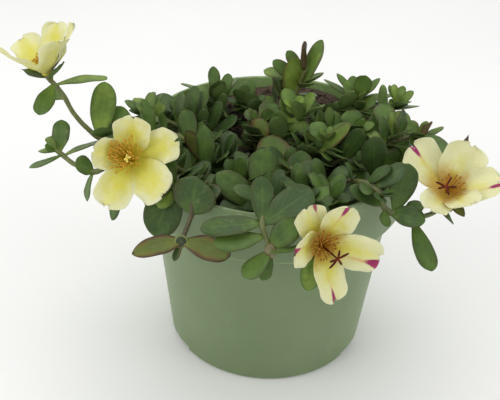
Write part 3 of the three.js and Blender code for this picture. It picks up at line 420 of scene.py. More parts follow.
# ---------------------------------------------------------------- the leafy stems
# The real plant is a young portulaca of many soft, round, trailing stems that root in the
# soil and carry flat, fleshy, spoon-shaped leaves, each on a very short stalk, crowded
# towards the tips. Each stem with its leaves grew as one piece.
#
# Stems, in millimetres: root and path, radii at the root and at the tip, filler (how many
# leaves the growth rule adds, between which shares of the length), tone (0 dark, 1 fresh),
# blush (how brown the leaf edges are), and the leaves that are placed one by one: share of
# the stem's length, heading, rise, length, width, roll, arch.
STEMS = [
    dict(
        name="far_left_bloom", root=(-36, -2), radii=(1.5, 1), filler=(3, 0.2, 0.45), tone=0.6, blush=0.2,
        path=[(-48, -8, 114), (-64, -13, 116), (-79, -14, 114), (-86, -14, 119), (-92, -14, 127),
            (-96, -14, 136), (-101, -14, 143)],
        leaves=[(0.58, 80, 50, 26, 12, 40, 0), (0.55, 65, 20, 13, 8, 30, 0.05),
            (0.86, 140, -5, 12, 8, -10, 0.05), (0.97, -105, -20, 17, 9, -20, 0.15),
            (0.96, 5, 20, 23, 8, 0, 0.25)],
    ),
    dict(
        name="left_bloom", root=(-38, -26), radii=(1.5, 1), filler=(3, 0.2, 0.75), tone=0.35, blush=0.1,
        path=[(-47, -32, 113), (-56, -37, 118), (-62, -41, 121)],
        leaves=[(1, -130, -55, 29, 9, 10, 0.1), (1, -45, -60, 19, 9, 50, 0.1),
            (1, -165, -30, 19, 9, 10, 0.1)],
    ),
    dict(
        name="left_sprig", root=(-38, -14), radii=(1.5, 1), filler=(3, 0.2, 0.45), tone=0.6, blush=0.15,
        path=[(-50, -21, 114), (-64, -25, 115), (-80, -30, 106), (-90, -28, 108), (-96, -25, 111),
            (-99, -24, 113)],
        leaves=[(0.92, 90, 50, 15, 9, 20, 0), (0.97, -170, 30, 6, 5, -40, 0),
            (0.88, -145, -10, 16, 8, 0, 0), (0.86, 40, 25, 20, 8, 0, 0.2),
            (0.64, -165, 45, 10, 9, -60, 0.1), (0.64, -120, -35, 13, 7, 10, 0.3)],
    ),
    dict(
        name="left_rim", root=(-38, 10), radii=(1.5, 1), filler=(4, 0.25, 0.7), tone=0.5, blush=0.1,
        path=[(-50, 10, 110), (-58, 7, 114), (-60, 6, 117)],
        leaves=[(0.93, -175, 35, 14, 7, 0, 0.1), (1, 130, 25, 12, 7, 10, 0),
            (0.97, 95, 30, 14, 9, -30, 0), (0.92, 55, 40, 12, 5, -30, 0), (0.87, 25, 45, 10, 7, 40, 0),
            (1, -95, 0, 9, 13, -10, 0.1), (1, -175, 30, 8, 8, -20, 0.1)],
    ),
    dict(
        name="left_arching", root=(-32, 16), radii=(1.5, 1), filler=(4, 0.3, 0.95), tone=0.35, blush=0.1,
        path=[(-39, 18, 107), (-48, 18, 110), (-52, 20, 105)],
        leaves=[(1, 60, 20, 16, 6, 20, -0.2), (1, 95, 10, 18, 7, -20, -0.15),
            (0.66, 115, -10, 10, 9, 10, 0.1)],
    ),
    dict(
        name="back_left", root=(-24, 30), radii=(1.5, 1), filler=(5, 0.25, 0.8), tone=0.5, blush=0.1,
        path=[(-28, 34, 106), (-29, 37, 107), (-30, 38, 110)],
        leaves=[(1, 100, 50, 16, 7, 30, 0), (1, 160, 20, 19, 6, 10, 0.15), (0.55, 70, 50, 19, 8, 20, 0),
            (0.6, -165, 25, 16, 9, -70, 0.1), (0.32, 145, 30, 11, 11, -20, 0.1)],
    ),
    dict(
        name="back", root=(-10, 34), radii=(1.5, 1), filler=(6, 0.3, 0.9), tone=0.5, blush=0.1,
        path=[(-11, 38, 104), (-14, 40, 105)],
        leaves=[(0.94, 115, 30, 13, 7, 40, 0), (0.94, 80, 35, 14, 7, 10, 0),
            (0.94, -175, 20, 12, 6, -20, 0)],
    ),
    dict(
        name="tall", root=(-4, 31), radii=(1.5, 1), filler=(6, 0.25, 0.8), tone=0.55, blush=0.5,
        path=[(2, 32, 108), (11, 34, 118), (14, 34, 129)],
        leaves=[(0.8, 20, 65, 28, 11, 10, 0.05), (0.75, -160, 85, 21, 12, -80, 0),
            (1, 145, 30, 14, 6, 0, 0.1), (1, 90, 55, 14, 7, 30, -0.1), (0.92, 165, 5, 20, 7, -20, 0.1),
            (0.98, 160, 10, 17, 6, 0, 0.1), (0.82, 30, 30, 15, 5, -10, 0.1),
            (0.54, 85, 50, 19, 6, 40, 0.1), (0.55, 175, 65, 9, 7, -50, 0.1)],
    ),
    dict(
        name="bright_centre", root=(2, 6), radii=(1.5, 1), filler=(5, 0.25, 0.75), tone=0.68, blush=0.05,
        path=[(4, 10, 106), (11, 14, 112), (11, 15, 116)],
        leaves=[(0.84, 125, 45, 16, 8, -20, 0), (0.84, 85, 50, 11, 6, 0, 0), (0.85, 55, 45, 15, 7, 0, 0),
            (0.9, 165, 45, 8, 6, -50, 0), (0.86, -105, -30, 8, 14, 0, 0.2),
            (0.78, -170, 5, 10, 7, -10, 0.1)],
    ),
    dict(
        name="back_right", root=(24, 26), radii=(1.5, 1), filler=(5, 0.25, 0.8), tone=0.55, blush=0.25,
        path=[(30, 31, 108), (41, 32, 108), (41, 33, 114)],
        leaves=[(0.96, 145, 25, 21, 6, 10, 0.1), (1, 135, 35, 17, 5, 0, 0),
            (0.95, 155, 55, 13, 9, -20, 0), (1, 105, 50, 13, 8, 10, 0), (1, 20, 75, 14, 9, 60, 0),
            (1, 30, 35, 16, 6, 0, 0), (0.97, 15, 15, 18, 8, 0, 0.1), (0.92, -5, 30, 10, 8, 40, 0.1)],
    ),
    dict(
        name="small_right", root=(36, 22), radii=(1.3, 0.8), filler=(4, 0.25, 0.8), tone=0.65, blush=0.1,
        path=[(48, 24, 108), (56, 26, 112), (60, 26, 117)],
        leaves=[(1, 120, 40, 10, 4, -10, 0), (1, 60, 50, 9, 5, -30, 0), (1, 0, 40, 10, 5, 30, 0),
            (0.94, 160, 40, 4, 4, -20, 0)],
    ),
    dict(
        name="right_back", root=(38, 8), radii=(1.5, 1), filler=(5, 0.25, 0.85), tone=0.5, blush=0.5,
        path=[(48, 8, 106), (56, 8, 111)],
        leaves=[(1, 110, 30, 16, 11, -30, 0), (1, 40, 30, 12, 10, 0, 0.1), (1, -30, 20, 11, 9, 40, 0.1)],
    ),
    dict(
        name="right_rim", root=(40, -4), radii=(1.5, 1), filler=(4, 0.25, 0.8), tone=0.45, blush=0.4,
        path=[(52, -3, 110), (62, -1, 113), (69, 0, 113)],
        leaves=[(0.97, -10, 60, 11, 8, 90, 0), (1, 15, 20, 12, 5, -10, 0), (1, -40, -20, 15, 8, 30, 0.1),
            (0.94, 125, 20, 9, 8, -50, 0), (0.97, -130, -30, 9, 9, -30, 0.1)],
    ),
    dict(
        name="right_bloom", root=(28, -26), radii=(1.5, 1), filler=(3, 0.2, 0.4), tone=0.35, blush=0.15,
        path=[(38, -40, 112), (45, -48, 113), (48, -52, 107), (56, -54, 104), (65, -50, 102),
            (72, -46, 103), (76, -40, 107)],
        leaves=[(0.59, -30, 10, 16, 10, 40, 0.1), (0.62, 70, 45, 23, 13, -30, 0.05),
            (0.66, 25, 30, 11, 9, -20, 0.1), (0.72, -70, -35, 25, 9, 50, 0), (0.56, -95, -25, 9, 6, 0, 0),
            (0.53, 170, 25, 17, 9, 0, 0.1), (0.94, -20, 10, 9, 5, 30, 0), (0.92, -50, -25, 10, 4, 10, 0)],
    ),
    dict(
        name="front_bloom", root=(14, -40), radii=(1.4, 1.1), filler=(3, 0.2, 0.5), tone=0.45, blush=0.1,
        path=[(13, -52, 111), (12, -62, 113), (14, -71, 108), (18, -76, 106)],
        leaves=[(1, -100, -40, 21, 10, 10, 0.2), (1, -60, -60, 20, 9, -20, 0.1),
            (1, -155, -15, 21, 5, 50, -0.2), (0.88, -140, -55, 14, 5, -30, 0)],
    ),
    dict(
        name="front", root=(0, -46), radii=(1.5, 1), filler=(2, 0.15, 0.4), tone=0.4, blush=0.15, tip="bud",
        path=[(-3, -55, 111), (-5, -63, 114), (-5, -74, 111), (-3, -77, 106), (-1, -79, 102)],
        leaves=[(0.7, 90, 40, 20, 11, 20, 0), (0.7, -165, 5, 26, 10, 10, 0.1),
            (0.82, -160, 0, 22, 10, 0, 0.05), (1, -135, -25, 16, 10, 30, 0),
            (1, -120, -60, 13, 7, -10, 0), (0.97, 10, 42, 17, 11, 0, 0.1),
            (0.71, 30, 25, 26, 15, -10, 0.1)],
    ),
    dict(
        name="front_left", root=(-16, -32), radii=(1.5, 1), filler=(4, 0.25, 0.9), tone=0.4, blush=0.1,
        path=[(-19, -40, 107), (-27, -46, 103)],
        leaves=[(1, 120, 40, 16, 8, -20, 0), (1, 60, 50, 12, 8, 0, 0)],
    ),
    dict(
        name="left_hanging", root=(-37, -35), radii=(1.5, 1), filler=(3, 0.2, 0.7), tone=0.2, blush=0.15,
        path=[(-41, -41, 112), (-43, -49, 113)],
        leaves=[(1, -125, -50, 24, 17, -10, 0.1), (1, -130, -25, 12, 9, 0, 0.25),
            (1, 115, 50, 12, 8, -40, 0)],
    ),
    dict(
        name="pinched", root=(-28, -40), radii=(1.5, 1), filler=(3, 0.2, 0.5),
        tone=-0.1, blush=0.9, tip="cut",
        path=[(-32, -48, 112), (-35, -57, 114), (-35, -61, 106), (-39, -67, 96)],
        leaves=[(0.83, 60, 80, 17, 20, 0, 0), (1, -155, 8, 21, 10, -10, 0.22),
            (1, -20, 5, 22, 12, 0, 0.22), (1, -110, -40, 9, 4, 10, 0)],
    ),
    dict(
        name="middle_left", root=(-10, -24), radii=(1.5, 1), filler=(5, 0.2, 0.85), tone=0.25, blush=0.15,
        path=[(-10, -36, 108), (-6, -44, 101)],
        leaves=[(1, 175, 26, 24, 13, -10, 0.1), (0.96, 85, 50, 23, 13, 0, 0)],
    ),
    dict(
        name="middle", root=(6, -18), radii=(1.5, 1), filler=(5, 0.2, 0.85), tone=0.2, blush=0.5,
        path=[(8, -25, 108), (9, -30, 100)],
        leaves=[(1, 75, 45, 19, 12, 0, 0), (0.2, 115, 35, 25, 18, -10, 0), (1, 120, 40, 15, 9, 20, 0)],
    ),
    dict(
        name="middle_right", root=(22, -34), radii=(1.5, 1), filler=(4, 0.2, 0.8), tone=0.35, blush=0.1,
        path=[(24, -44, 108), (24, -50, 106)],
        leaves=[(0.96, 125, 40, 14, 9, 20, 0), (0.95, 60, 45, 15, 9, -30, 0),
            (1, -5, 25, 11, 8, -10, 0.1), (1, -35, -15, 15, 6, -10, 0.1)],
    ),
    dict(
        name="inner_tuft", root=(14, -6), radii=(1.5, 1), filler=(4, 0.2, 0.7), tone=0.5, blush=0.1,
        path=[(20, -7, 108), (26, -8, 108), (25, -7, 113)],
        leaves=[(0.49, -15, 40, 28, 8, 40, -0.1), (1, 135, -25, 14, 7, 0, 0.1), (1, 155, 50, 8, 5, 0, 0),
            (1, 95, 70, 8, 6, -40, 0), (1, 20, 55, 8, 5, 10, 0), (1, 140, 30, 12, 10, -10, 0)],
    ),
    dict(
        name="inner_round", root=(22, 6), radii=(1.5, 1), filler=(5, 0.2, 0.8), tone=0.5, blush=0.1,
        path=[(28, 6, 108), (39, 8, 110)],
        leaves=[(1, 140, 65, 11, 12, -50, 0.1), (1, 135, 65, 7, 4, -30, 0), (1, 25, 60, 8, 4, 30, 0),
            (1, 25, 30, 10, 8, -10, 0), (1, -15, 10, 13, 7, 30, 0)],
    ),
    dict(
        name="dark_right", root=(28, -10), radii=(1.5, 1), filler=(5, 0.2, 0.8), tone=0.15, blush=0.1,
        path=[(34, -13, 107), (47, -18, 99)],
        leaves=[(1, 170, 85, 24, 13, -50, 0), (0.97, 135, 30, 20, 13, -30, 0), (1, 40, 40, 18, 10, 30, 0)],
    ),
    dict(
        name="inner_left", root=(-8, 8), radii=(1.5, 1), filler=(5, 0.2, 0.8), tone=0.25, blush=0.5,
        path=[(-8, 10, 106), (-8, 16, 104), (-7, 16, 108)],
        leaves=[(0.2, -180, 30, 32, 9, 0, 0.3), (0.3, 55, 75, 14, 11, 10, 0.1),
            (1, 145, 30, 10, 8, -10, 0.1), (1, 45, 40, 13, 11, 20, 0), (1, -30, 45, 12, 8, 80, 0),
            (0.32, 175, 35, 9, 4, -50, 0)],
    ),
    dict(
        name="inner_dark", root=(-22, -10), radii=(1.5, 1), filler=(5, 0.2, 0.8), tone=0.15, blush=0.1,
        path=[(-26, -15, 105), (-30, -21, 101)],
        leaves=[(1, -175, 25, 22, 11, 0, 0.1), (1, 105, 65, 23, 9, 0, 0), (0.94, 135, 40, 22, 8, -30, 0),
            (1, -135, 15, 8, 7, -10, 0), (0.2, -65, 55, 10, 9, 90, 0)],
    ),
]
# The blooms' petals stand here too, because leaves grow clear of them. Each petal: turn round
# the bloom's axis, rise from its plane, length, width.
BLOOMS = [
    dict(
        name="far_left", centre=(-102, -14, 147), facing=(175, 76), star=False,
        petals=[
            (-42, 44, 24, 14), (50, 44, 24, 16), (105, 46, 24, 15), (160, 46, 22, 15),
            (-138, 30, 22, 15),
        ],
    ),
    dict(
        name="left", centre=(-62, -45, 123), facing=(-97, 25), star=False,
        petals=[
            (168, 42, 18, 14), (88, 24, 19, 16), (28, 10, 22, 15), (-38, 20, 22, 18),
            (-108, 16, 22, 16),
        ],
    ),
    dict(
        name="front", centre=(19, -80, 107), facing=(-68, 12), star=True,
        petals=[
            (112, 6, 18, 14), (58, 22, 20, 15), (-16, 26, 24, 15), (-82, 22, 23, 13),
            (168, 28, 16, 15),
        ],
    ),
    dict(
        name="right", centre=(76, -42, 110), facing=(-85, 55), star=True,
        petals=[
            (128, 10, 24, 18), (62, 26, 22, 19), (0, 32, 23, 15), (-60, 46, 18, 14),
            (-136, 32, 19, 14),
        ],
    ),
]
# how wide a blade is, at shares of its length
LEAF_OUTLINE = np.array([
    (0, 0.16), (0.12, 0.26), (0.3, 0.62), (0.5, 0.92), (0.66, 1), (0.8, 0.92), (0.92, 0.62), (1, 0.08),
])
PETAL_OUTLINE = np.array([
    (0, 0.22), (0.1, 0.34), (0.25, 0.62), (0.45, 0.88), (0.65, 1), (0.82, 0.97), (0.93, 0.78), (1, 0.42),
])
LEAF_CUP = 0.05
LEAF_ARCH = 0.12
PETAL_FORM = dict(roll=0, arch=-0.05, cup=0.18, petal=True)
PETAL_ROOT = 1.6  # from the bloom's axis
UP = np.array([0, 0, 1.0])
FRONT = (0.31, -0.95, 0.05)  # a leaf at turn 90 round its stem opens this way
SPIRAL = 137.5  # degrees from one leaf or stamen to the next
STEM_FOOT = (89, 97.5, 102)  # heights of a stem's first points, in and just over the soil
LINE_POINTS = 28
# where leaves may not be: radii on both sides of the pot's wall, and heights over rim and soil
WALL = (62, 66.5)
OVER_RIM = 111.5
OVER_SOIL = 97.8
# how far beside a blade its neighbours still count as touching it
MARGIN = 0.8
# blades farther apart than this share of their two lengths can't touch
NEAR = 0.6
# how clear a blade keeps of other stems, and of the left edge, middle and right edge of blades
# on other stems and on its own
FULL_GAPS = dict(stems=2.2, others=(1.1, 1.5, 1.1), sisters=(0.5, 0.6, 0.5))
# turns and lifts, in degrees, that a leaf tries until it is clear
BENDS = [
    (0, 0), (0, 12), (0, -12), (14, 0), (-14, 0), (14, 12), (-14, 12), (14, -12), (-14, -12),
    (28, 0), (-28, 0), (0, 25), (28, 14), (-28, 14), (0, -25), (40, 0), (-40, 0), (25, 30), (-25, 30),
]
SHRINKS = (1, 0.88, 0.76)


class Dice:
    """Park and Miller's generator: the same draws on every run."""

    def __init__(self, seed):
        self.state = seed

    def next(self):
        self.state = (self.state * 16807) % 2147483647
        return self.state / 2147483647


def unit(vector):
    return vector / np.linalg.norm(vector)


def heading(azimuth, rise):
    a, e = math.radians(azimuth), math.radians(rise)
    return np.array([math.cos(a) * math.cos(e), math.sin(a) * math.cos(e), math.sin(e)])


def blade(root, axis, face, length, width, roll, arch, cup=LEAF_CUP, petal=False):
    """A leaf or a petal: a curved surface hung on its root, its axis and its upper face."""
    upper = unit(face - axis * np.dot(face, axis))
    across = np.cross(axis, upper)
    roll = math.radians(roll)
    upper = upper * math.cos(roll) + across * math.sin(roll)
    return SimpleNamespace(
        root=root, axis=axis, upper=upper, side=np.cross(axis, upper),
        length=length, width=width, arch=arch, cup=cup, petal=petal,
    )


def stacked(blades):
    """Many blades as one, with room for lines and points after the first index."""
    fields = {}
    for key in ("root", "axis", "upper", "side"):
        fields[key] = np.array([getattr(b, key) for b in blades])[:, None, None, :]
    for key in ("length", "width", "arch", "cup", "petal"):
        fields[key] = np.array([getattr(b, key) for b in blades])[:, None, None]
    return SimpleNamespace(**fields)


def half_width(b, t):
    leaf = np.interp(t, LEAF_OUTLINE[:, 0], LEAF_OUTLINE[:, 1])
    petal = np.interp(t, PETAL_OUTLINE[:, 0], PETAL_OUTLINE[:, 1])
    return np.where(b.petal, petal, leaf) * b.width / 2


def on_blade(b, t, q):
    """The points at shares t from root to tip and q from edge to edge."""
    t = np.array(t, float)[None, None, :]
    q = np.array(q, float)[None, :, None]
    w = half_width(b, t)
    h = b.cup * w * q * q - b.arch * b.length * t * t
    flat = b.root + b.axis * (b.length * t)[..., None] + b.side * (q * w)[..., None]
    return flat + b.upper * h[..., None]


def checked_lines(b):
    """The left edge, the middle and the right edge of each blade."""
    return on_blade(b, (0.15, 0.32, 0.49, 0.66, 0.83, 1), (-1, 0, 1))


def middle(b):
    return on_blade(b, (0.5,), (0,))[0, 0, 0]


def meets(b, lines, gap):
    """For each blade: whether a line comes closer to it than the gap, or passes through it."""
    r = lines - b.root
    x = (r * b.axis).sum(-1) / b.length
    y = (r * b.side).sum(-1)
    w = half_width(b, x)
    cup = b.cup * np.minimum(y * y / np.maximum(w, 0.3), w)
    h = (r * b.upper).sum(-1) + b.arch * b.length * x * x - cup

    def covers(x, y):
        within = (x > -0.02) & (x < 1 + MARGIN / b.length)
        return within & (abs(y) < half_width(b, x) + MARGIN)

    near = (abs(h) < gap) & covers(x, y)
    crossing = h[..., :-1] * h[..., 1:] < 0
    k = h[..., :-1] / np.where(crossing, h[..., :-1] - h[..., 1:], 1)
    between = covers(x[..., :-1] + k * np.diff(x), y[..., :-1] + k * np.diff(y))
    return near.any((-1, -2)) | (crossing & between).any((-1, -2))


def stem_points(stem):
    return np.array([(*stem["root"], z) for z in STEM_FOOT] + stem["path"], float)


def on_curve(points, t):
    """A point on the Catmull-Rom curve through the points."""
    place = (len(points) - 1) * t
    k = min(int(place), len(points) - 2)
    s = place - k
    b, c = points[k], points[k + 1]
    a = points[k - 1] if k > 0 else b - (c - b)
    d = points[k + 2] if k + 2 < len(points) else c + (c - b)
    v0, v1 = (c - a) / 2, (d - b) / 2
    return (2 * b - 2 * c + v0 + v1) * s ** 3 + (3 * c - 3 * b - 2 * v0 - v1) * s ** 2 + v0 * s + b


def along_curve(points, t):
    ahead = on_curve(points, min(t + 0.01, 1))
    return unit(ahead - on_curve(points, max(t - 0.01, 0)))


def touches_pot(p):
    r = np.hypot(p[..., 0], p[..., 1])
    wall = (r > WALL[0]) & (r < WALL[1]) & (p[..., 2] < OVER_RIM)
    return (wall | ((r <= WALL[0]) & (p[..., 2] < OVER_SOIL))).any()


curves = {stem["name"]: stem_points(stem) for stem in STEMS}
shares = [0.1 + 0.9 * k / (LINE_POINTS - 1) for k in range(LINE_POINTS)]
stem_lines = {name: [on_curve(points, t) for t in shares] for name, points in curves.items()}
grown_blades = []


def is_free(owner, new, gaps):
    """Whether the blade keeps clear of the pot, the other stems and all blades so far."""
    mine = stacked([new])
    my_lines = checked_lines(mine)
    if touches_pot(my_lines):
        return False
    others = np.array([line for name, line in stem_lines.items() if name != owner])
    if meets(mine, others[None], gaps["stems"]).any():
        return False
    here = middle(mine)
    # sisters may touch near their roots, so their first points aren't checked
    for kin, sisters, first in (("sisters", True, 2), ("others", False, 0)):
        if kin not in gaps:
            continue
        near = [b for b in grown_blades if (b.owner == owner) == sisters
                and np.linalg.norm(b.middle - here) <= NEAR * (b.length + new.length)]
        if not near:
            continue
        gap = np.array(gaps[kin])[None, :, None]
        if meets(stacked(near), my_lines[:, :, first:], gap).any():
            return False
        their_lines = np.concatenate([b.lines for b in near])[:, :, first:]
        if meets(mine, their_lines, gap).any():
            return False
    return True


def keep_blade(owner, new, **looks):
    one = stacked([new])
    new.owner = owner
    new.lines = checked_lines(one)
    new.middle = middle(one)
    new.looks = looks
    grown_blades.append(new)


def grow_leaf(owner, t, aim, length, width, roll, arch, gaps=FULL_GAPS, **looks):
    """The leaf keeps its aim if it can, and else bends or shrinks a little to stay clear."""
    points = curves[owner]
    tangent = along_curve(points, t)
    side = unit(np.cross(tangent, aim))
    # the upper face looks up, and a little towards the stem's tip
    face = tangent * 0.35 + UP * 0.65
    for size in SHRINKS:
        for turn, lift in BENDS:
            turn, lift = math.radians(turn), math.radians(lift)
            turned_aim = aim * math.cos(turn) + side * math.sin(turn)
            axis = unit(turned_aim * math.cos(lift) + UP * math.sin(lift))
            new = blade(on_curve(points, t), axis, face, length * size, width * size, roll, arch)
            if is_free(owner, new, gaps):
                keep_blade(owner, new, share=t, **looks)
                return


def opened(tangent, turn, opening):
    """Where a leaf points that opens so far from its stem, at that turn round it, in degrees."""
    turn, opening = math.radians(turn), math.radians(opening)
    side = unit(np.cross(tangent, FRONT))
    up = np.cross(side, tangent)
    out = side * math.cos(turn) + up * math.sin(turn)
    return tangent * math.cos(opening) + out * math.sin(opening)


def grow_fillers(stem, seed, filler, full=17, gaps=FULL_GAPS, lift=0.12, **looks):
    """Leaves in a spiral down the stem, opening wider towards its foot, each with some play."""
    count, start, end = filler
    dice = Dice(seed)
    for k in range(count):
        share = (k + 0.5) / count
        t = end - (end - start) * share
        turn = SPIRAL * k + 50 + 54 * dice.next()
        opening = 48 + 14 * share + 10 * dice.next()
        aim = opened(along_curve(curves[stem["name"]], t), turn, opening)
        aim[2] = max(aim[2], -0.15) + lift
        length = full * (0.72 + 0.3 * dice.next())
        width = length * (0.48 + 0.08 * dice.next())
        grow_leaf(stem["name"], t, unit(aim), length, width, 0, LEAF_ARCH, gaps, **looks)


def bloom_axes(bloom):
    """The bloom's centre, its axis, and the ray that leaves the axis at a turn."""
    axis = heading(*bloom["facing"])
    right = unit(np.cross(UP, axis))
    over = np.cross(axis, right)

    def out(turn):
        return right * math.cos(math.radians(turn)) + over * math.sin(math.radians(turn))

    return np.array(bloom["centre"], float), axis, out


for bloom in BLOOMS:
    centre, axis, out = bloom_axes(bloom)
    for turn, rise, length, width in bloom["petals"]:
        ray, e = out(turn), math.radians(rise)
        keep_blade("petals_" + bloom["name"], blade(
            centre + ray * PETAL_ROOT, ray * math.cos(e) + axis * math.sin(e),
            axis * math.cos(e) - ray * math.sin(e), length, width, **PETAL_FORM,
        ))
for stem in STEMS:
    for number, (t, azimuth, rise, *form) in enumerate(stem["leaves"]):
        grow_leaf(stem["name"], t, heading(azimuth, rise), *form, number=number)
for k, stem in enumerate(STEMS):
    grow_fillers(stem, 4801 * (k + 1), stem["filler"])

# the looks of leaves and stems: colours, forms, and what sets single leaves apart
# the leaf skin's pale grey-green sheen colour is painted sheen, laid on in patches
LEAF_SKIN = dict(
    dark="#364d24", plain="#55702e", fresh="#869c40", under="#657a4c",
    rib="#7f9a4e", edge="#4c372b", blotch="#75622f", painted_sheen="#9aa888",
)
STEM_SKIN = dict(
    dark="#2c3a20", green="#5f6b38", pale="#88924f", brown="#644a30", dry="#7b734c", node="#5e5438",
)
# half the width of a leaf along its length: usual, round and pointed; and how thick it is there
LEAF_HALF = [
    (0, 0.16), (0.1, 0.27), (0.3, 0.66), (0.48, 0.93), (0.64, 1), (0.8, 0.93), (0.9, 0.72),
    (0.965, 0.42), (1, 0.03),
]
ROUND_HALF = [
    (0, 0.18), (0.06, 0.4), (0.18, 0.74), (0.34, 0.95), (0.5, 1), (0.66, 0.96), (0.82, 0.78),
    (0.93, 0.5), (0.98, 0.28), (1, 0.04),
]
POINTED_HALF = [(0, 0.5), (0.12, 0.82), (0.3, 1), (0.5, 0.9), (0.7, 0.62), (0.9, 0.22), (1, 0.01)]
LEAF_BODY = [(0, 0.7), (0.15, 0.75), (0.45, 1), (0.75, 0.8), (0.93, 0.45), (1, 0.1)]
# skin over and under the blade, waves and notch as shares of its width and length, and fineness
LEAF_SIZES = {
    "Top": 0.45 * MM, "Bottom": 0.75 * MM, "Groove": 0.28 * MM, "Ripple": 0.04, "Notch": 0.012,
    "Sides": 16, "Stations": 16, "Rod sides": 12,
}
STEM_STEPS = 7
# the swelling where a leaf leaves its stem, as shares: its length and how much it thickens
JOINT = dict(width=0.025, swelling=0.12)
YOUNG_LEAVES = 5
FILLERS_FROM = 0.16
# rounds of small leaves that fill the tangle: full length, how far up the stem, count, lift
FILLER_ROUNDS = ((18, 0.95, 6, 0.55), (15, 0.9, 6, 0.3), (12, 0.97, 5, 0.7))
YOUNG_GAPS = dict(stems=1.2, others=(0.6, 0.7, 0.6))
CLOSE_GAPS = dict(stems=1.4, others=(0.75, 0.9, 0.75), sisters=(0.35, 0.45, 0.35))
# for each stem, its leaves that stand apart: how fresh, how brown, and how far from
# spoon-shaped, to round (-1) or pointed (1); one leaf of the tall stem is made fresher as painted light
LEAF_LOOKS = dict(
    inner_tuft={0: (0.7, 1.2, 0)},
    inner_left={1: (0.62, 1.5, -0.3)},
    inner_dark={2: (0.3, 1.85, 0)},
    middle={1: (0.48, 1.1, -0.7)},
    middle_left={0: (0.34, 0.2, -0.6)},
    front={
        0: (0.04, 0.1, -0.6), 1: (0.1, 0.2, -0.4), 2: (0.45, 0.15, -0.3), 3: (0.5, 0.1, -0.3),
        6: (0, 0.1, -0.2),
    },
    front_bloom={0: (0.75, 0.1, 0.2), 1: (0.55, 0.1, 0)},
    left_hanging={1: (0.85, 0, -0.4)},
    far_left_bloom={0: (0.78, 0.1, -0.2), 3: (0.5, 0.1, -0.3)},
    pinched={0: (0.02, 0.35, -1), 1: (0.5, 1.7, 0.35), 2: (0.52, 1.7, -0.3)},
    # the tall stem's leaf 1 has a lighter tone than its own: painted light that lifts it out of the shade
    # it lies in
    tall={0: (0.6, 0.6, 0.3), 1: (0.85, 0.9, -1), 3: (0.2, 3, -1)},
    right_rim={0: (0.35, 2.6, 1), 1: (0.6, 0.4, 0)},
    right_bloom={3: (0.36, 0.15, -0.2), 6: (0.2, 2.8, 1), 7: (0.4, 0.6, 1)},
)
# leaves added where the stems look bare: stem, share, heading, rise, length, width, roll
ADDED_LEAVES = [
    ("middle_left", 0.92, -139, 1, 20.7, 11.4, 0), ("left_arching", 0.36, 57, 72, 17, 9, 0),
    ("tall", 0.96, 158, 47, 14, 6, -50), ("tall", 0.88, 168, 34, 17.5, 7, -50),
]
# the sepals and the leaves close under each bloom: turn, rise, length, width, how fresh, how
# brown, and form
SEPALS = dict(
    far_left=[(258, 19, 12, 9, 0.3, 0.5, 1), (75, 34, 11, 9, 0.35, 0.3, 1)],
    left=[(35, -10, 9, 7, 0.4, 0.3, 1), (215, -6, 9, 7, 0.4, 0.3, 1)],
    front=[(35, -14, 9, 7, 0.4, 0.5, 1), (215, 4, 10, 8, 0.4, 1.2, 1)],
    right=[
        (60, -8, 9, 8, 0.4, 0.4, 1), (252, 14, 10, 10, 0.5, 0.4, 0.4),
        (66, -4, 31, 9, 0.2, 2.8, 1), (92, -13, 31, 14, 0.35, 0.15, -0.4),
        (300, 8, 12, 5.5, 0.3, 1.9, 0.5),
    ],
)
# where a sepal's root sits, from the bloom's centre
SEPAL_SEAT = dict(down=2.2, out=1.3)
SEPAL_FORM = dict(roll=0, arch=-0.04, cup=0.25)
# round forms as rings: distance along the axis, radius
RECEPTACLE = ((-5, 1.1), (-4, 1.35), (-3, 1.8), (-2, 2.2), (-1, 2.4))
CUT_END = (  # rings, how fresh, how brown: the swollen collar, the cut disc and its pith
    (((-2, 1.2), (-0.8, 1.9), (0.2, 2.7), (0.8, 3), (1.1, 2.9), (1.25, 2.6)), 0.9, 0),
    (((1, 2.2), (1.35, 2.3), (1.42, 2.2), (1.46, 1.2)), -0.6, -0.6),
    (((1.3, 0.5), (1.52, 0.5), (1.56, 0.3)), 0.1, 0),
)
BUD = dict(way=(0.2, -0.6, -0.7), length=3.3, radius=2.9)


class Sketch:
    """The bare lines and points that a tree grows a piece on, with what each point stores."""

    NUMBERS = ("is_blade", "radius", "share", "tone", "blush", "dry", "phase", "length", "width",
               "arch", "cup", "curl", "form", "mark", "mark_side")
    ARROWS = ("axis", "side", "upper")

    def __init__(self):
        self.points, self.lines, self.rows = [], [], []

    def add_point(self, point, **row):
        self.points.append([v * MM for v in point])
        self.rows.append(row)

    def add_line(self, points, radii, **looks):
        first = len(self.points)
        for k, (point, radius) in enumerate(zip(points, radii)):
            self.add_point(point, radius=radius * MM, share=k / (len(points) - 1), **looks)
        self.lines += [(first + k, first + k + 1) for k in range(len(points) - 1)]

    def add_rings(self, start, way, rings, **looks):
        self.add_line([start + way * s for s, _ in rings], [radius for _, radius in rings], **looks)

    def add_blade(self, b, **looks):
        self.add_point(
            b.root, is_blade=1, length=b.length * MM, width=b.width * MM, arch=b.arch,
            cup=b.cup, axis=b.axis, side=b.side, upper=b.upper, **looks,
        )

    def mesh(self):
        mesh = bpy.data.meshes.new("sketch")
        mesh.from_pydata(self.points, self.lines, [])
        for name in self.NUMBERS:
            layer = mesh.attributes.new(name, "FLOAT", "POINT")
            layer.data.foreach_set("value", [float(row.get(name, 0)) for row in self.rows])
        for name in self.ARROWS:
            layer = mesh.attributes.new(name, "FLOAT_VECTOR", "POINT")
            layer.data.foreach_set("vector", np.ravel([row.get(name, UP) for row in self.rows]))
        return mesh


def read(tree, names, kind="FLOAT"):
    """What the mesh stores under these names, for a geometry tree or a material."""
    if tree.type == "SHADER":
        return [node(tree, "ShaderNodeAttribute", output="Fac", attribute_name=name)
                for name in names.split()]
    return [node(tree, "GeometryNodeInputNamedAttribute", {"Name": name}, data_type=kind)
            for name in names.split()]


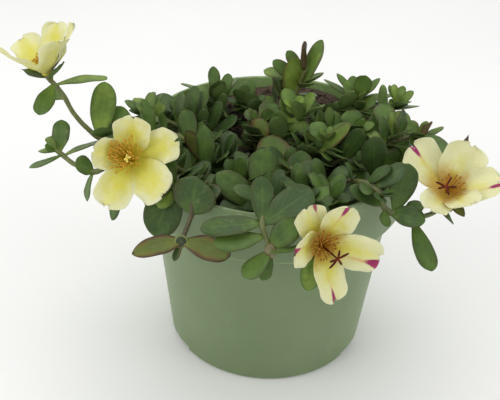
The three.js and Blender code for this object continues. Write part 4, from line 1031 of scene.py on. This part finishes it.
def stored(geometry, **values):
    """The geometry with the values stored on its points under their names."""
    for name, value in values.items():
        kind = "FLOAT" if value.socket.type == "VALUE" else "FLOAT_VECTOR"
        inputs = {"Geometry": geometry, "Name": name, "Value": value}
        tree = value.socket.id_data
        geometry = node(tree, "GeometryNodeStoreNamedAttribute", inputs, data_type=kind)
    return geometry


def curve_through(value, points):
    """A smooth curve of a value, through points between 0 and 1."""
    made = node(value.socket.id_data, "ShaderNodeFloatCurve", {1: value})
    mapping = made.socket.node.mapping
    curve = mapping.curves[0]
    for x, y in points[1:-1]:
        curve.points.new(x, y)
    curve.points[0].location = points[0]
    curve.points[-1].location = points[-1]
    mapping.update()
    return made


def add_rods(tree, lines, sides, finish_of):
    """Round rods along the sketch's lines, as thick as each point says."""
    rod = node(tree, "GeometryNodeCurveToMesh", {
        "Curve": node(tree, "GeometryNodeMeshToCurve", [lines]),
        "Profile Curve": node(tree, "GeometryNodeCurvePrimitiveCircle", {"Resolution": sides, "Radius": 1}),
        "Scale": read(tree, "radius")[0],
        "Fill Caps": True,
    })
    return node(tree, "GeometryNodeSetMaterial", {"Geometry": rod, "Material": finish_of})


def half_shape(tree, outline):
    """Half the outline, a little full or slim by chance, and drawn towards round or pointed."""
    t, phase, form = read(tree, "along phase form")
    shape = curve_through(t ** (calc("SINE", phase * 53) * 0.17 + 1), outline)
    for other, sign in ((ROUND_HALF, -1), (POINTED_HALF, 1)):
        share = calc("MAXIMUM", form * sign, 0)
        shape = share * (curve_through(t, other) - shape) + shape
    return shape


def skin_height(tree, size, half, body):
    """How high a blade's skin lies over the plane that its root, axis and sides span."""
    t, q, above, length, width, phase = read(tree, "along across above length width phase")
    cup, arch, curl = read(tree, "cup arch curl")
    # thickness, with a groove along the middle of the upper face
    on_top = above > 0
    thick = size["Bottom"] + on_top * (size["Top"] - size["Bottom"])
    rise = above * thick * curve_through(t, body)
    groove = size["Groove"] * on_top * fade(t, 0.95, 0.5) * fade(abs(q), 0.42, 0)
    # the bend of the whole blade, the waves of its edge, and its lengthways folds
    bend = cup * half * (q * q) - arch * length * (t * t) + curl * length * (t * t * t)
    turn = phase * (2 * math.pi)
    swing = t * (phase * 5 + 7) + q * 1.9 + turn
    wave = calc("SINE", swing) * size["Ripple"] * (q * q * fade(t, 0.1, 0.7))
    fold = calc("COSINE", q * (phase * 3 + 6) + turn) * size["Fold"] * fade(t, 0.1, 0.6)
    return rise - groove + bend + (wave + fold) * width


def add_blades(tree, points, size, outline, body, finish_of):
    """A blade on each point: a closed lens bent over the surface that the growth rule checks."""
    position = node(tree, "GeometryNodeInputPosition")
    x, y, z = node(tree, "ShaderNodeSeparateXYZ", [position]).outputs()
    lens = node(tree, "GeometryNodeMeshCylinder", {
        "Vertices": size["Sides"], "Side Segments": size["Stations"], "Radius": 1, "Depth": 1,
    })
    lens = stored(lens, along=1 - (0.5 - z) ** 1.7, across=x * -1, above=y)
    points = stored(points, root=position)
    blades = node(tree, "GeometryNodeInstanceOnPoints", {"Points": points, "Instance": lens})
    blades = node(tree, "GeometryNodeRealizeInstances", [blades])
    t, q, length, width, phase = read(tree, "along across length width phase")
    shape = half_shape(tree, outline)
    blades = stored(blades, aside=q * shape)
    half = shape * (width * 0.5)
    height = skin_height(tree, size, half, body)
    # the dip in the middle of the tip and its ragged edge, and a slight sway to one side
    lobes = calc("SINE", q * 5 + phase * 31) * 0.5
    frays = calc("SINE", q * 11 + phase * 57) * 0.3
    dip = (lobes + frays + fade(abs(q), 0.7, 0)) * size["Notch"] * t ** 5
    sway = calc("SINE", phase * 17) * length * 0.045 * (t * t)
    root, axis, side, upper = read(tree, "root axis side upper", "FLOAT_VECTOR")
    spot = root + axis * (length * (t - dip)) + side * (half * q + sway) + upper * height
    blades = node(tree, "GeometryNodeSetPosition", {"Geometry": blades, "Position": spot})
    return node(tree, "GeometryNodeSetMaterial", {"Geometry": blades, "Material": finish_of})


def plant_tree(name, outline, body, rod_finish, blade_finish):
    """The tree for a piece of rods and blades together."""
    sizes = ("Top", "Bottom", "Groove", "Ripple", "Fold", "Notch")
    tree, size = growth_tree(name, sizes, ("Sides", "Stations", "Rod sides"))
    is_blade = read(tree, "is_blade")[0] > 0.5
    points, lines = node(tree, "GeometryNodeSeparateGeometry", [size["Geometry"], is_blade]).outputs()
    rods = add_rods(tree, lines, size["Rod sides"], rod_finish)
    finish_tree(tree, [rods, add_blades(tree, points, size, outline, body, blade_finish)])
    return tree


# leaf: a fleshy, slightly glossy skin, darker when old and yellow-green when young, greyer
# below, with a sunken midrib, faint side veins, fine water-filled bumps, a brown edge, and pale
# grey-green patches of painted sheen
leaf_skin, tree = finish("fleshy_leaf_skin")
t, q, above, tone, blush = read(tree, "along across above tone blush")
edge = abs(q)
mottle = speckle(tree, 7.69, 3) + speckle(tree, 2.38) * 0.5
level = tone + (mottle - 0.75) * 0.75 + fade(t, 0.45, 0) * 0.3 - fade(edge, 0.5, 1) * 0.22
# pale grey-green patches laid into the leaf's colour as painted sheen
sheen_patches = fade(speckle(tree, 3.85, 4), 0.55, 0.75) * fade(speckle(tree, 16.7), 0.45, 0.65)
veins = fade(calc("SINE", edge * 16 - t * 34), 0.55, 1) * fade(edge, 0.05, 0.3)
lines = calc("MAXIMUM", veins * 0.05, fade(edge, 0.12, 0.02) * 0.12) * fade(t, 1, 0.6)
below = fade(above, 0, -0.25)
flush = fade(edge * 0.7 + speckle(tree, 6.67, 3) * 0.9 - 0.45, 0.3, 0.85) * blush
flush = flush * 0.6 + fade(blush, 0.8, 2) * 0.35
rim = calc("MAXIMUM", edge, t ** 6 * 0.97) + speckle(tree, 4.17) * 0.3 - 0.15 + blush * 0.1
rim = fade(rim, 0.78, 1.08) * (blush * 0.36 + 0.25) + fade(blush, 1.9, 2.8) * 0.8
surface(tree, {
    "Base Color": coats(
        LEAF_SKIN, "dark", (fade(level, -0.05, 0.6), "plain"), (fade(level, 0.5, 1.1), "fresh"),
        (sheen_patches * 0.18, "painted_sheen"), (lines, "rib"), (below * 0.45, "under"),
        (calc("MINIMUM", flush, 0.75), "blotch"), (calc("MINIMUM", rim, 0.9), "edge"),
    ),
    "Roughness": speckle(tree, 3.03) * 0.2 + below * 0.12 + 0.3,
    "Specular IOR Level": 0.26,
    "Subsurface Weight": 0.18,
    "Subsurface Radius": (0.3, 0.6, 0.1),
    "Subsurface Scale": 1.2 * MM,
}, speckle(tree, 0.192, 1) * 0.5 + speckle(tree, 1.61) * 1.4, 0.12, 0.55)

# stem: a round, juicy skin, green streaked with brown, paler towards the tip, and dry and
# straw-coloured where it ends in a spent bud
stem_skin, tree = finish("juicy_stem_skin")
share, tone, blush, dry = read(tree, "share tone blush dry")
streaks = fade(speckle(tree, 2.38, 3, (1, 1, 0.35)), 0.35, 0.7)
level = streaks * 0.35 + tone
ruddy = fade(share, 1, 0.1) * fade(speckle(tree, 6.67), 0.3, 0.65) * 0.45 + blush * 0.45
husk = coats(STEM_SKIN, "dry", (fade(speckle(tree, 1.11, 3, (1, 1, 0.3)), 0.35, 0.65), "node"))
surface(tree, {
    "Base Color": coats(
        STEM_SKIN, "dark", (fade(level, 0, 0.6), "green"), (fade(level, 0.5, 1.3), "pale"),
        (calc("MINIMUM", ruddy, 0.85), "brown"), (dry, husk),
    ),
    "Roughness": speckle(tree, 2) * 0.2 + 0.34,
    "Specular IOR Level": 0.5,
}, streaks + speckle(tree, 0.417), 0.18, 0.6)

stem_tree = plant_tree("leafy_stem", LEAF_HALF, LEAF_BODY, stem_skin, leaf_skin)


def stem_line(sketch, stem):
    """The stem, a little swollen where its leaves leave it."""
    points = curves[stem["name"]]
    steps = STEM_STEPS * (len(points) - 1)
    shares = [k / steps for k in range(steps + 1)]
    joints = [b.looks["share"] for b in grown_blades if b.owner == stem["name"]]
    low, high = stem["radii"]
    radii = []
    for t in shares:
        near = sum(math.exp(-((t - joint) / JOINT["width"]) ** 2) for joint in joints)
        radii.append((low + (high - low) * t) * (1 + JOINT["swelling"] * min(near, 1.5)))
    sketch.add_line([on_curve(points, t) for t in shares], radii, tone=stem["tone"], blush=stem["blush"])


def young_leaves(stem, dice):
    """The small leaves that open last, close round the stem's tip."""
    tangent = along_curve(curves[stem["name"]], 1)
    for k in range(YOUNG_LEAVES):
        aim = unit(opened(tangent, SPIRAL * k + 40 * dice.next(), 18 + 9 * k) + UP * 0.25)
        length = 4.5 + 1.1 * k + 1.5 * dice.next()
        form = (length, length * 0.52, 0, 0.05)
        grow_leaf(stem["name"], 1 - 0.008 * k, aim, *form, YOUNG_GAPS, fresh=0.15)


def own_leaves(sketch, stem, dice):
    """The stem's leaves, fresher towards its tip, each with a little play in its looks."""
    for b in grown_blades:
        if b.owner != stem["name"]:
            continue
        freshness = 0.3 * (b.looks["share"] - 0.75) + b.looks.get("fresh", 0)
        tone = stem["tone"] + freshness + 0.3 * (dice.next() - 0.5)
        usual = (tone, stem["blush"], 0.15 - 0.75 * dice.next())
        tone, blush, form = LEAF_LOOKS.get(stem["name"], {}).get(b.looks.get("number"), usual)
        phase = dice.next()
        curl = 0.1 * (dice.next() - 0.4)
        sketch.add_blade(b, tone=tone, blush=blush, form=form, phase=phase, curl=curl)


def spent_bud(sketch, end):
    """A small round bud that hangs from the stem's tip."""
    way = unit(np.array(BUD["way"]))
    rings = [(-BUD["length"] * math.cos(a), BUD["radius"] * math.sin(a))
             for a in np.linspace(0.08, math.pi - 0.08, 13)]
    sketch.add_rings(end, way, rings, dry=0.8, tone=0.5)


def under_bloom(sketch, bloom, dice):
    """The green cup under a bloom, with its sepals."""
    centre, axis, out = bloom_axes(bloom)
    sketch.add_rings(centre, axis, RECEPTACLE, tone=0.5, blush=0.2)
    for turn, rise, length, width, fresh, brown, form in SEPALS[bloom["name"]]:
        ray, slope = out(turn), math.tan(math.radians(rise))
        root = centre - axis * SEPAL_SEAT["down"] + ray * SEPAL_SEAT["out"]
        way, face = unit(ray + axis * slope), unit(axis - ray * slope)
        sepal = blade(root, way, face, length, width, **SEPAL_FORM)
        sketch.add_blade(sepal, tone=fresh, blush=brown, form=form, phase=dice.next())


for k, stem in enumerate(STEMS):
    if "tip" not in stem and not stem["name"].endswith(("_bloom", "tall")):
        young_leaves(stem, Dice(977 + 13 * k))
for full, last, count, lift in FILLER_ROUNDS:
    for k, stem in enumerate(STEMS):
        filler = (count, FILLERS_FROM, min(last, stem["filler"][2] + 0.1))
        seed = 7919 * full + 31 * k
        grow_fillers(stem, seed, filler, full, CLOSE_GAPS, lift, fresh=-0.12)
for owner, share, azimuth, rise, *form in ADDED_LEAVES:
    grow_leaf(owner, share, heading(azimuth, rise), *form, 0.1, CLOSE_GAPS, fresh=-0.05)
for k, stem in enumerate(STEMS):
    dice = Dice(101 + 7 * k)
    sketch = Sketch()
    stem_line(sketch, stem)
    own_leaves(sketch, stem, dice)
    end = curves[stem["name"]][-1]
    if stem.get("tip") == "cut":
        for rings, fresh, brown in CUT_END:
            sketch.add_rings(end, heading(-88, 30), rings, tone=fresh, blush=brown)
    if stem.get("tip") == "bud":
        spent_bud(sketch, end)
    for bloom in BLOOMS:
        if stem["name"] == bloom["name"] + "_bloom":
            under_bloom(sketch, bloom, dice)
    piece = grown(f"stem_{stem['name']}_and_leaves", sketch.mesh(), stem_tree, LEAF_SIZES)
    smooth(piece.data)
    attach(piece, "root")
    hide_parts("stem_" + stem["name"])

# ---------------------------------------------------------------- the blooms
# Each real bloom has five thin, satiny petals, pale yellow and broadest near their slightly
# notched tips, round a tuft of orange-yellow stamens with darker anthers, and one style whose
# end opens in a star. In two blooms the star is dark red, and magenta marks run in from the
# tips of their petals. Petals, stamens and pistil grew on one small disc.
PETAL_TINT = dict(
    lemon="#d1cb52", cream="#d9d8a8", lime="#bdb42e", ochre="#b58a22", vein="#c4c06a", back="#cbca90",
    mark="#8e1a5a", flush="#c98055",
)
# by whether the bloom has a dark star
STAMEN_TINT = {
    False: dict(foot="#d8bd30", thread="#d8b236", anther="#bf8c30", pollen="#e6c552"),
    True: dict(foot="#c9962a", thread="#bd8730", anther="#935f26", pollen="#cf9a3c"),
}
STYLE_TINT = {False: dict(foot="#d2b138", arm="#e6d76c"), True: dict(foot="#70240f", arm="#4b180d")}
STYLE_SIZE = {False: dict(height=8.5, reach=2), True: dict(height=9.5, reach=4.8)}
PETAL_HALF = [
    (0, 0.3), (0.1, 0.5), (0.25, 0.8), (0.45, 0.99), (0.65, 1.06), (0.82, 1), (0.93, 0.78),
    (0.98, 0.52), (1, 0.2),
]
PETAL_BODY = [(0, 1), (0.2, 1), (0.5, 0.9), (0.8, 0.8), (0.95, 0.6), (1, 0.4)]
PETAL_SIZES = {
    "Top": 0.2 * MM, "Bottom": 0.2 * MM, "Groove": 0.1 * MM, "Ripple": 0.07, "Fold": 0.022,
    "Notch": 0.055, "Sides": 32, "Stations": 26, "Rod sides": 24,
}
# degrees from the bloom's axis: the most that a stamen leans, and where a flat petal lies, less
# the room between them
STAMEN_LEAN = 58
PETAL_PLANE = 82
STAMEN_SIDES = 7
STYLE_SIDES = 8
# the disc's rings: distance along the axis, radius
DISC = ((-0.7, 2.5), (-0.5, 2.8), (0.5, 2.8), (0.8, 2.4), (1, 1.2))
# how thick a stamen is, at shares of its length: a thin thread and its anther
STAMEN_RADII = (
    (0, 0.2), (0.35, 0.17), (0.65, 0.16), (0.82, 0.15), (0.85, 0.28), (0.9, 0.38), (0.96, 0.34), (1, 0.15),
)
# for each petal, in its bloom's order: how strong its magenta mark is, and on which side
PETAL_MARKS = dict(
    far_left=((0, 0),) * 5,
    left=((0, 0),) * 5,
    front=((0.45, 0.5), (0.75, -0.1), (1.1, 0.4), (0.5, 0.1), (0.9, 0.1)),
    right=((0.6, 0), (0.1, 0.2), (0.55, 0.25), (0.15, 0), (0.15, 0)),
)
# for each bloom: how many stamens, how long they are, and to which turn and how far they sweep
TUFTS = dict(
    far_left=(40, 1, 90, 0), left=(84, 1.3, 140, 3.5), front=(64, 1, 110, 2), right=(28, 0.95, 30, 2),
)
# how far the throat's colour turns from lime to ochre, and spreads up the petals
THROAT = dict(far_left=0, left=0, front=0.7, right=1.6)
# how each style leans: to which turn, and how far in millimetres
STYLE_LEAN = dict(far_left=(0, 0), left=(90, 1), front=(-45, 5), right=(200, 3.2))
# the arms at the end of each style: turn, and share of the usual length
STYLE_ARMS = dict(
    far_left=((20, 1), (93, 0.8), (223, 0.7), (278, 1)),
    left=((20, 1), (93, 0.8), (223, 0.7), (278, 1)),
    front=((20, 1.1), (75, 0.8), (187, 0.8), (224, 1.1), (301, 0.7)),
    right=((56, 1.1), (150, 1), (195, 0.8), (285, 0.85), (355, 0.95)),
)

# petal: thin satin tissue, lemon up the middle and in the throat, cream towards the edges,
# finely ribbed lengthways, with a magenta wedge at the tip that narrows to a faint streak
petal_tissue, tree = finish("satin_petal_tissue")
t, q, above, tone, mark, side, aside = read(tree, "along across above tone mark mark_side aside")
wobble = speckle(tree, 4.17, 3) * 0.5 - 0.25
pallor = abs(q) * 0.55 + t * 0.75 + wobble * 1.6 + tone * 0.22
ribs = calc("SINE", (q + wobble * 0.12) * 44)
vein = fade(ribs, 0.3, 1) * fade(t, 0.95, 0.3)
throat = fade(wobble * 0.5 + t, tone * 0.1 + 0.38, 0.14)
below = fade(above, 0, -0.2)
apart = abs(aside + wobble * 0.25 - side)
blush = fade(apart, 0.16, 0) * mark * fade(t, 0.2, 0.75)
blot = fade(apart - fade(t, 0.6, 1) * mark * 0.24, 0.03, -0.05)
blot = blot * fade(mark, 0.2, 0.5) * fade(t, 0.7, 0.84)
surface(tree, {
    "Base Color": coats(
        PETAL_TINT, "lemon", (fade(pallor, 0.35, 1.15), "cream"), (vein * 0.18, "vein"),
        (throat * 0.85, coats(PETAL_TINT, "lime", (tone, "ochre"))), (below * 0.4, "back"),
        (blush * 0.5, "flush"), (blot, "mark"),
    ),
    "Roughness": fade(speckle(tree, 9.09, 3), 0.35, 0.7) * 0.12 + 0.46,
    "Specular IOR Level": 0.35,
    "Sheen Weight": 0.25,
    "Sheen Roughness": 0.4,
    "Subsurface Weight": 0.25,
    "Subsurface Radius": (1.0, 0.9, 0.4),
    "Subsurface Scale": 1.5 * MM,
}, ribs * 0.3 + speckle(tree, 2, 3) * 2, 0.2, 0.45)


def graded(name, palette, stops, rough, grained=False):
    """A skin whose colour runs from foot to end, with pollen on the end where it is grained."""
    made, tree = finish(name)
    share = read(tree, "share")[0]
    layers = []
    for (start, _), (end, colour) in zip(stops, stops[1:]):
        layers.append((fade(share, start, end), colour))
    if grained:
        layers.append((fade(speckle(tree, 0.3125), 0.5, 0.6) * fade(share, 0.8, 0.9), "pollen"))
    surface(tree, {
        "Base Color": coats(palette, stops[0][1], *layers),
        "Roughness": speckle(tree, 0.667) * 0.3 + rough,
        "Specular IOR Level": 0.2,
    }, speckle(tree, 0.192), 0.1, 0.6)
    return made


def rod_tree(name, finish_of):
    """The tree for a piece of round rods alone."""
    tree, size = growth_tree(name, (), ("Rod sides",))
    finish_tree(tree, [add_rods(tree, size["Geometry"], size["Rod sides"], finish_of)])
    return tree


# stamens: waxy golden threads that turn brown towards their anthers, dusted with pale pollen
thread_stops = ((0, "foot"), (0.5, "thread"), (0.84, "anther"))
yellow_thread = graded("yellow_stamens", STAMEN_TINT[False], thread_stops, 0.45, grained=True)
brown_thread = graded("brown_stamens", STAMEN_TINT[True], thread_stops, 0.45, grained=True)
# styles: waxy and pale yellow, or velvety and dark red, and redder at the foot
style_stops = ((0, "foot"), (0.6, "arm"))
yellow_style = graded("pale_yellow_style", STYLE_TINT[False], style_stops, 0.45)
red_style = graded("velvety_red_style", STYLE_TINT[True], style_stops, 0.5)

petal_tree = plant_tree("petals_on_their_disc", PETAL_HALF, PETAL_BODY, petal_tissue, petal_tissue)
tuft_trees = {False: rod_tree("yellow_tuft", yellow_thread), True: rod_tree("brown_tuft", brown_thread)}
style_trees = {False: rod_tree("yellow_style", yellow_style), True: rod_tree("red_style", red_style)}


def steepest_petal(bloom, turn):
    """The rise of the steepest petal on that side of the bloom."""
    return max(row[1] for row in bloom["petals"] if math.cos(math.radians(row[0] - turn)) > 0.2)


def stamen_line(sketch, bloom, turn, dice, ring):
    """One thread with its anther, leaning out and bending back up."""
    centre, axis, out = bloom_axes(bloom)
    _, full, sweep, swept = TUFTS[bloom["name"]]
    widest = min(STAMEN_LEAN, PETAL_PLANE - steepest_petal(bloom, turn))
    lean = math.radians(widest * (0.1 + 0.5 * ring + 0.4 * dice.next()))
    length = full * (5.2 + 1.6 * ring + 2 * dice.next())
    root = centre + axis * 0.9 + out(turn) * (0.5 + 0.6 * ring)
    way = axis * math.cos(lean) + out(turn) * math.sin(lean)
    curl = (dice.next() - 0.3) * 0.8
    bend = out(turn) * curl + out(sweep) * swept - axis * 0.3 * abs(curl)
    points = [root + way * length * s + bend * s * s for s, _ in STAMEN_RADII]
    sketch.add_line(points, [radius for _, radius in STAMEN_RADII])


def style_lines(sketch, bloom):
    """The style, and the arms that open from its end."""
    centre, axis, out = bloom_axes(bloom)
    turn, lean = STYLE_LEAN[bloom["name"]]
    height, reach = STYLE_SIZE[bloom["star"]].values()

    def up_style(s):
        return centre + axis * s + out(turn) * lean * (s / height) ** 1.5

    stations = np.linspace(0.9, height, 8)
    radii = np.interp(stations, (0.9, 2.4, height), (0.55, 0.36, 0.34))
    sketch.add_line([up_style(s) for s in stations], radii)
    for k, (arm, share) in enumerate(STYLE_ARMS[bloom["name"]]):
        droop = 0.5 + 0.6 * (k % 2)
        points, radii = [], []
        for s in np.linspace(0, 1, 9):
            rise = 0.9 * s - droop * s * s - 0.3
            points.append(up_style(height) + axis * rise + out(arm) * reach * share * s)
            radii.append((0.34 + 0.16 * math.sin(math.pi * s)) * (1 if s < 1 else 0.35))
        sketch.add_line(points, radii)


for number, bloom in enumerate(BLOOMS):
    name, star = bloom["name"], bloom["star"]
    centre, axis, _ = bloom_axes(bloom)
    dice = Dice(3001 + 17 * number)
    petals, stamens, style = Sketch(), Sketch(), Sketch()
    petals.add_rings(centre, axis, DISC, tone=THROAT[name])
    owned = [b for b in grown_blades if b.owner == "petals_" + name]
    for b, (mark, side) in zip(owned, PETAL_MARKS[name]):
        phase = dice.next()
        curl = 0.06 * (dice.next() - 0.3)
        petals.add_blade(b, phase=phase, tone=THROAT[name], mark=mark, mark_side=side, curl=curl)
    count = TUFTS[name][0]
    for k in range(count):
        stamen_line(stamens, bloom, SPIRAL * k + 8 * dice.next(), dice, k / count)
    style_lines(style, bloom)
    for kind, sketch, tree, slot, sizes in (
        ("petals", petals, petal_tree, "petal", PETAL_SIZES),
        ("stamens", stamens, tuft_trees[star], "stamen", {"Rod sides": STAMEN_SIDES}),
        ("pistil", style, style_trees[star], "pistil_red" if star else "pistil_yellow",
         {"Rod sides": STYLE_SIDES}),
    ):
        piece = grown(f"{name}_bloom_{kind}", sketch.mesh(), tree, sizes)
        smooth(piece.data)
        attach(piece, "root")
        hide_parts(f"{kind}_{name}")

# ---------------------------------------------------------------- the studio
# A pale matt floor, an even light from all round, and three large soft lights: one high on
# the left, one on the right and one above. The camera looks down on the plant.
FLOOR_TINT = dict(plain="#f4f4f2", shade="#eeeeec")
FLOOR_HALF = 4
SKY_LIGHT = 0.75
LENS = 72
SENSOR = 36
CAMERA_AT = (-0.01038, -0.41086, 0.34838)
CAMERA_DOWN = 33.76
CAMERA_ROLL = 2.25

# matt paint: nearly white, with a faint unevenness and hardly any gloss
floor_paint, tree = finish("pale_matt_floor")
shader = node(tree, "ShaderNodeBsdfPrincipled", {
    "Base Color": coats(FLOOR_TINT, "plain", (speckle(tree, 167), "shade")),
    "Roughness": 0.9,
    "Specular IOR Level": 0.1,
})
node(tree, "ShaderNodeOutputMaterial", [shader])
sheet = bpy.data.meshes.new("floor")
corners = [(x * FLOOR_HALF, y * FLOOR_HALF, 0) for x, y in ((-1, -1), (1, -1), (1, 1), (-1, 1))]
sheet.from_pydata(corners, [], [(0, 1, 2, 3)])
floor = place("floor", sheet)
floor.data.materials.append(floor_paint)

world = bpy.data.worlds.new("even_light")
bpy.context.scene.world = world
world.use_nodes = True
world.node_tree.nodes.clear()
sky = node(world.node_tree, "ShaderNodeBackground", {"Color": paint("#ffffff"), "Strength": SKY_LIGHT})
node(world.node_tree, "ShaderNodeOutputWorld", [sky])


def soft_light(name, spot, target, size, watts):
    """A square soft light that faces the target."""
    lamp = bpy.data.lights.new(name, "AREA")
    lamp.size = size
    lamp.energy = watts
    holder = bpy.data.objects.new(name, lamp)
    bpy.context.scene.collection.objects.link(holder)
    turn = (Vector(spot) - Vector(target)).to_track_quat("Z", "Y")
    holder.matrix_world = Matrix.Translation(spot) @ turn.to_matrix().to_4x4()


soft_light("left_softbox", (-0.7, -0.35, 0.6), (0, 0, 0.1), 0.6, 2.4)
soft_light("right_softbox", (0.8, -0.3, 0.45), (0, 0, 0.08), 0.5, 1.3)
soft_light("top_softbox", (0, 0.25, 0.9), (0, 0, 0.1), 0.7, 2.4)

camera = bpy.data.objects.new("camera", bpy.data.cameras.new("camera"))
bpy.context.scene.collection.objects.link(camera)
camera.data.lens = LENS
camera.data.sensor_width = SENSOR
camera.data.clip_start = 0.01
tilt = Matrix.Rotation(math.radians(90 - CAMERA_DOWN), 4, "X")
roll = Matrix.Rotation(math.radians(CAMERA_ROLL), 4, "Z")
camera.matrix_world = Matrix.Translation(CAMERA_AT) @ tilt @ roll
bpy.context.scene.camera = camera
bpy.context.scene.view_settings.view_transform = "Standard"
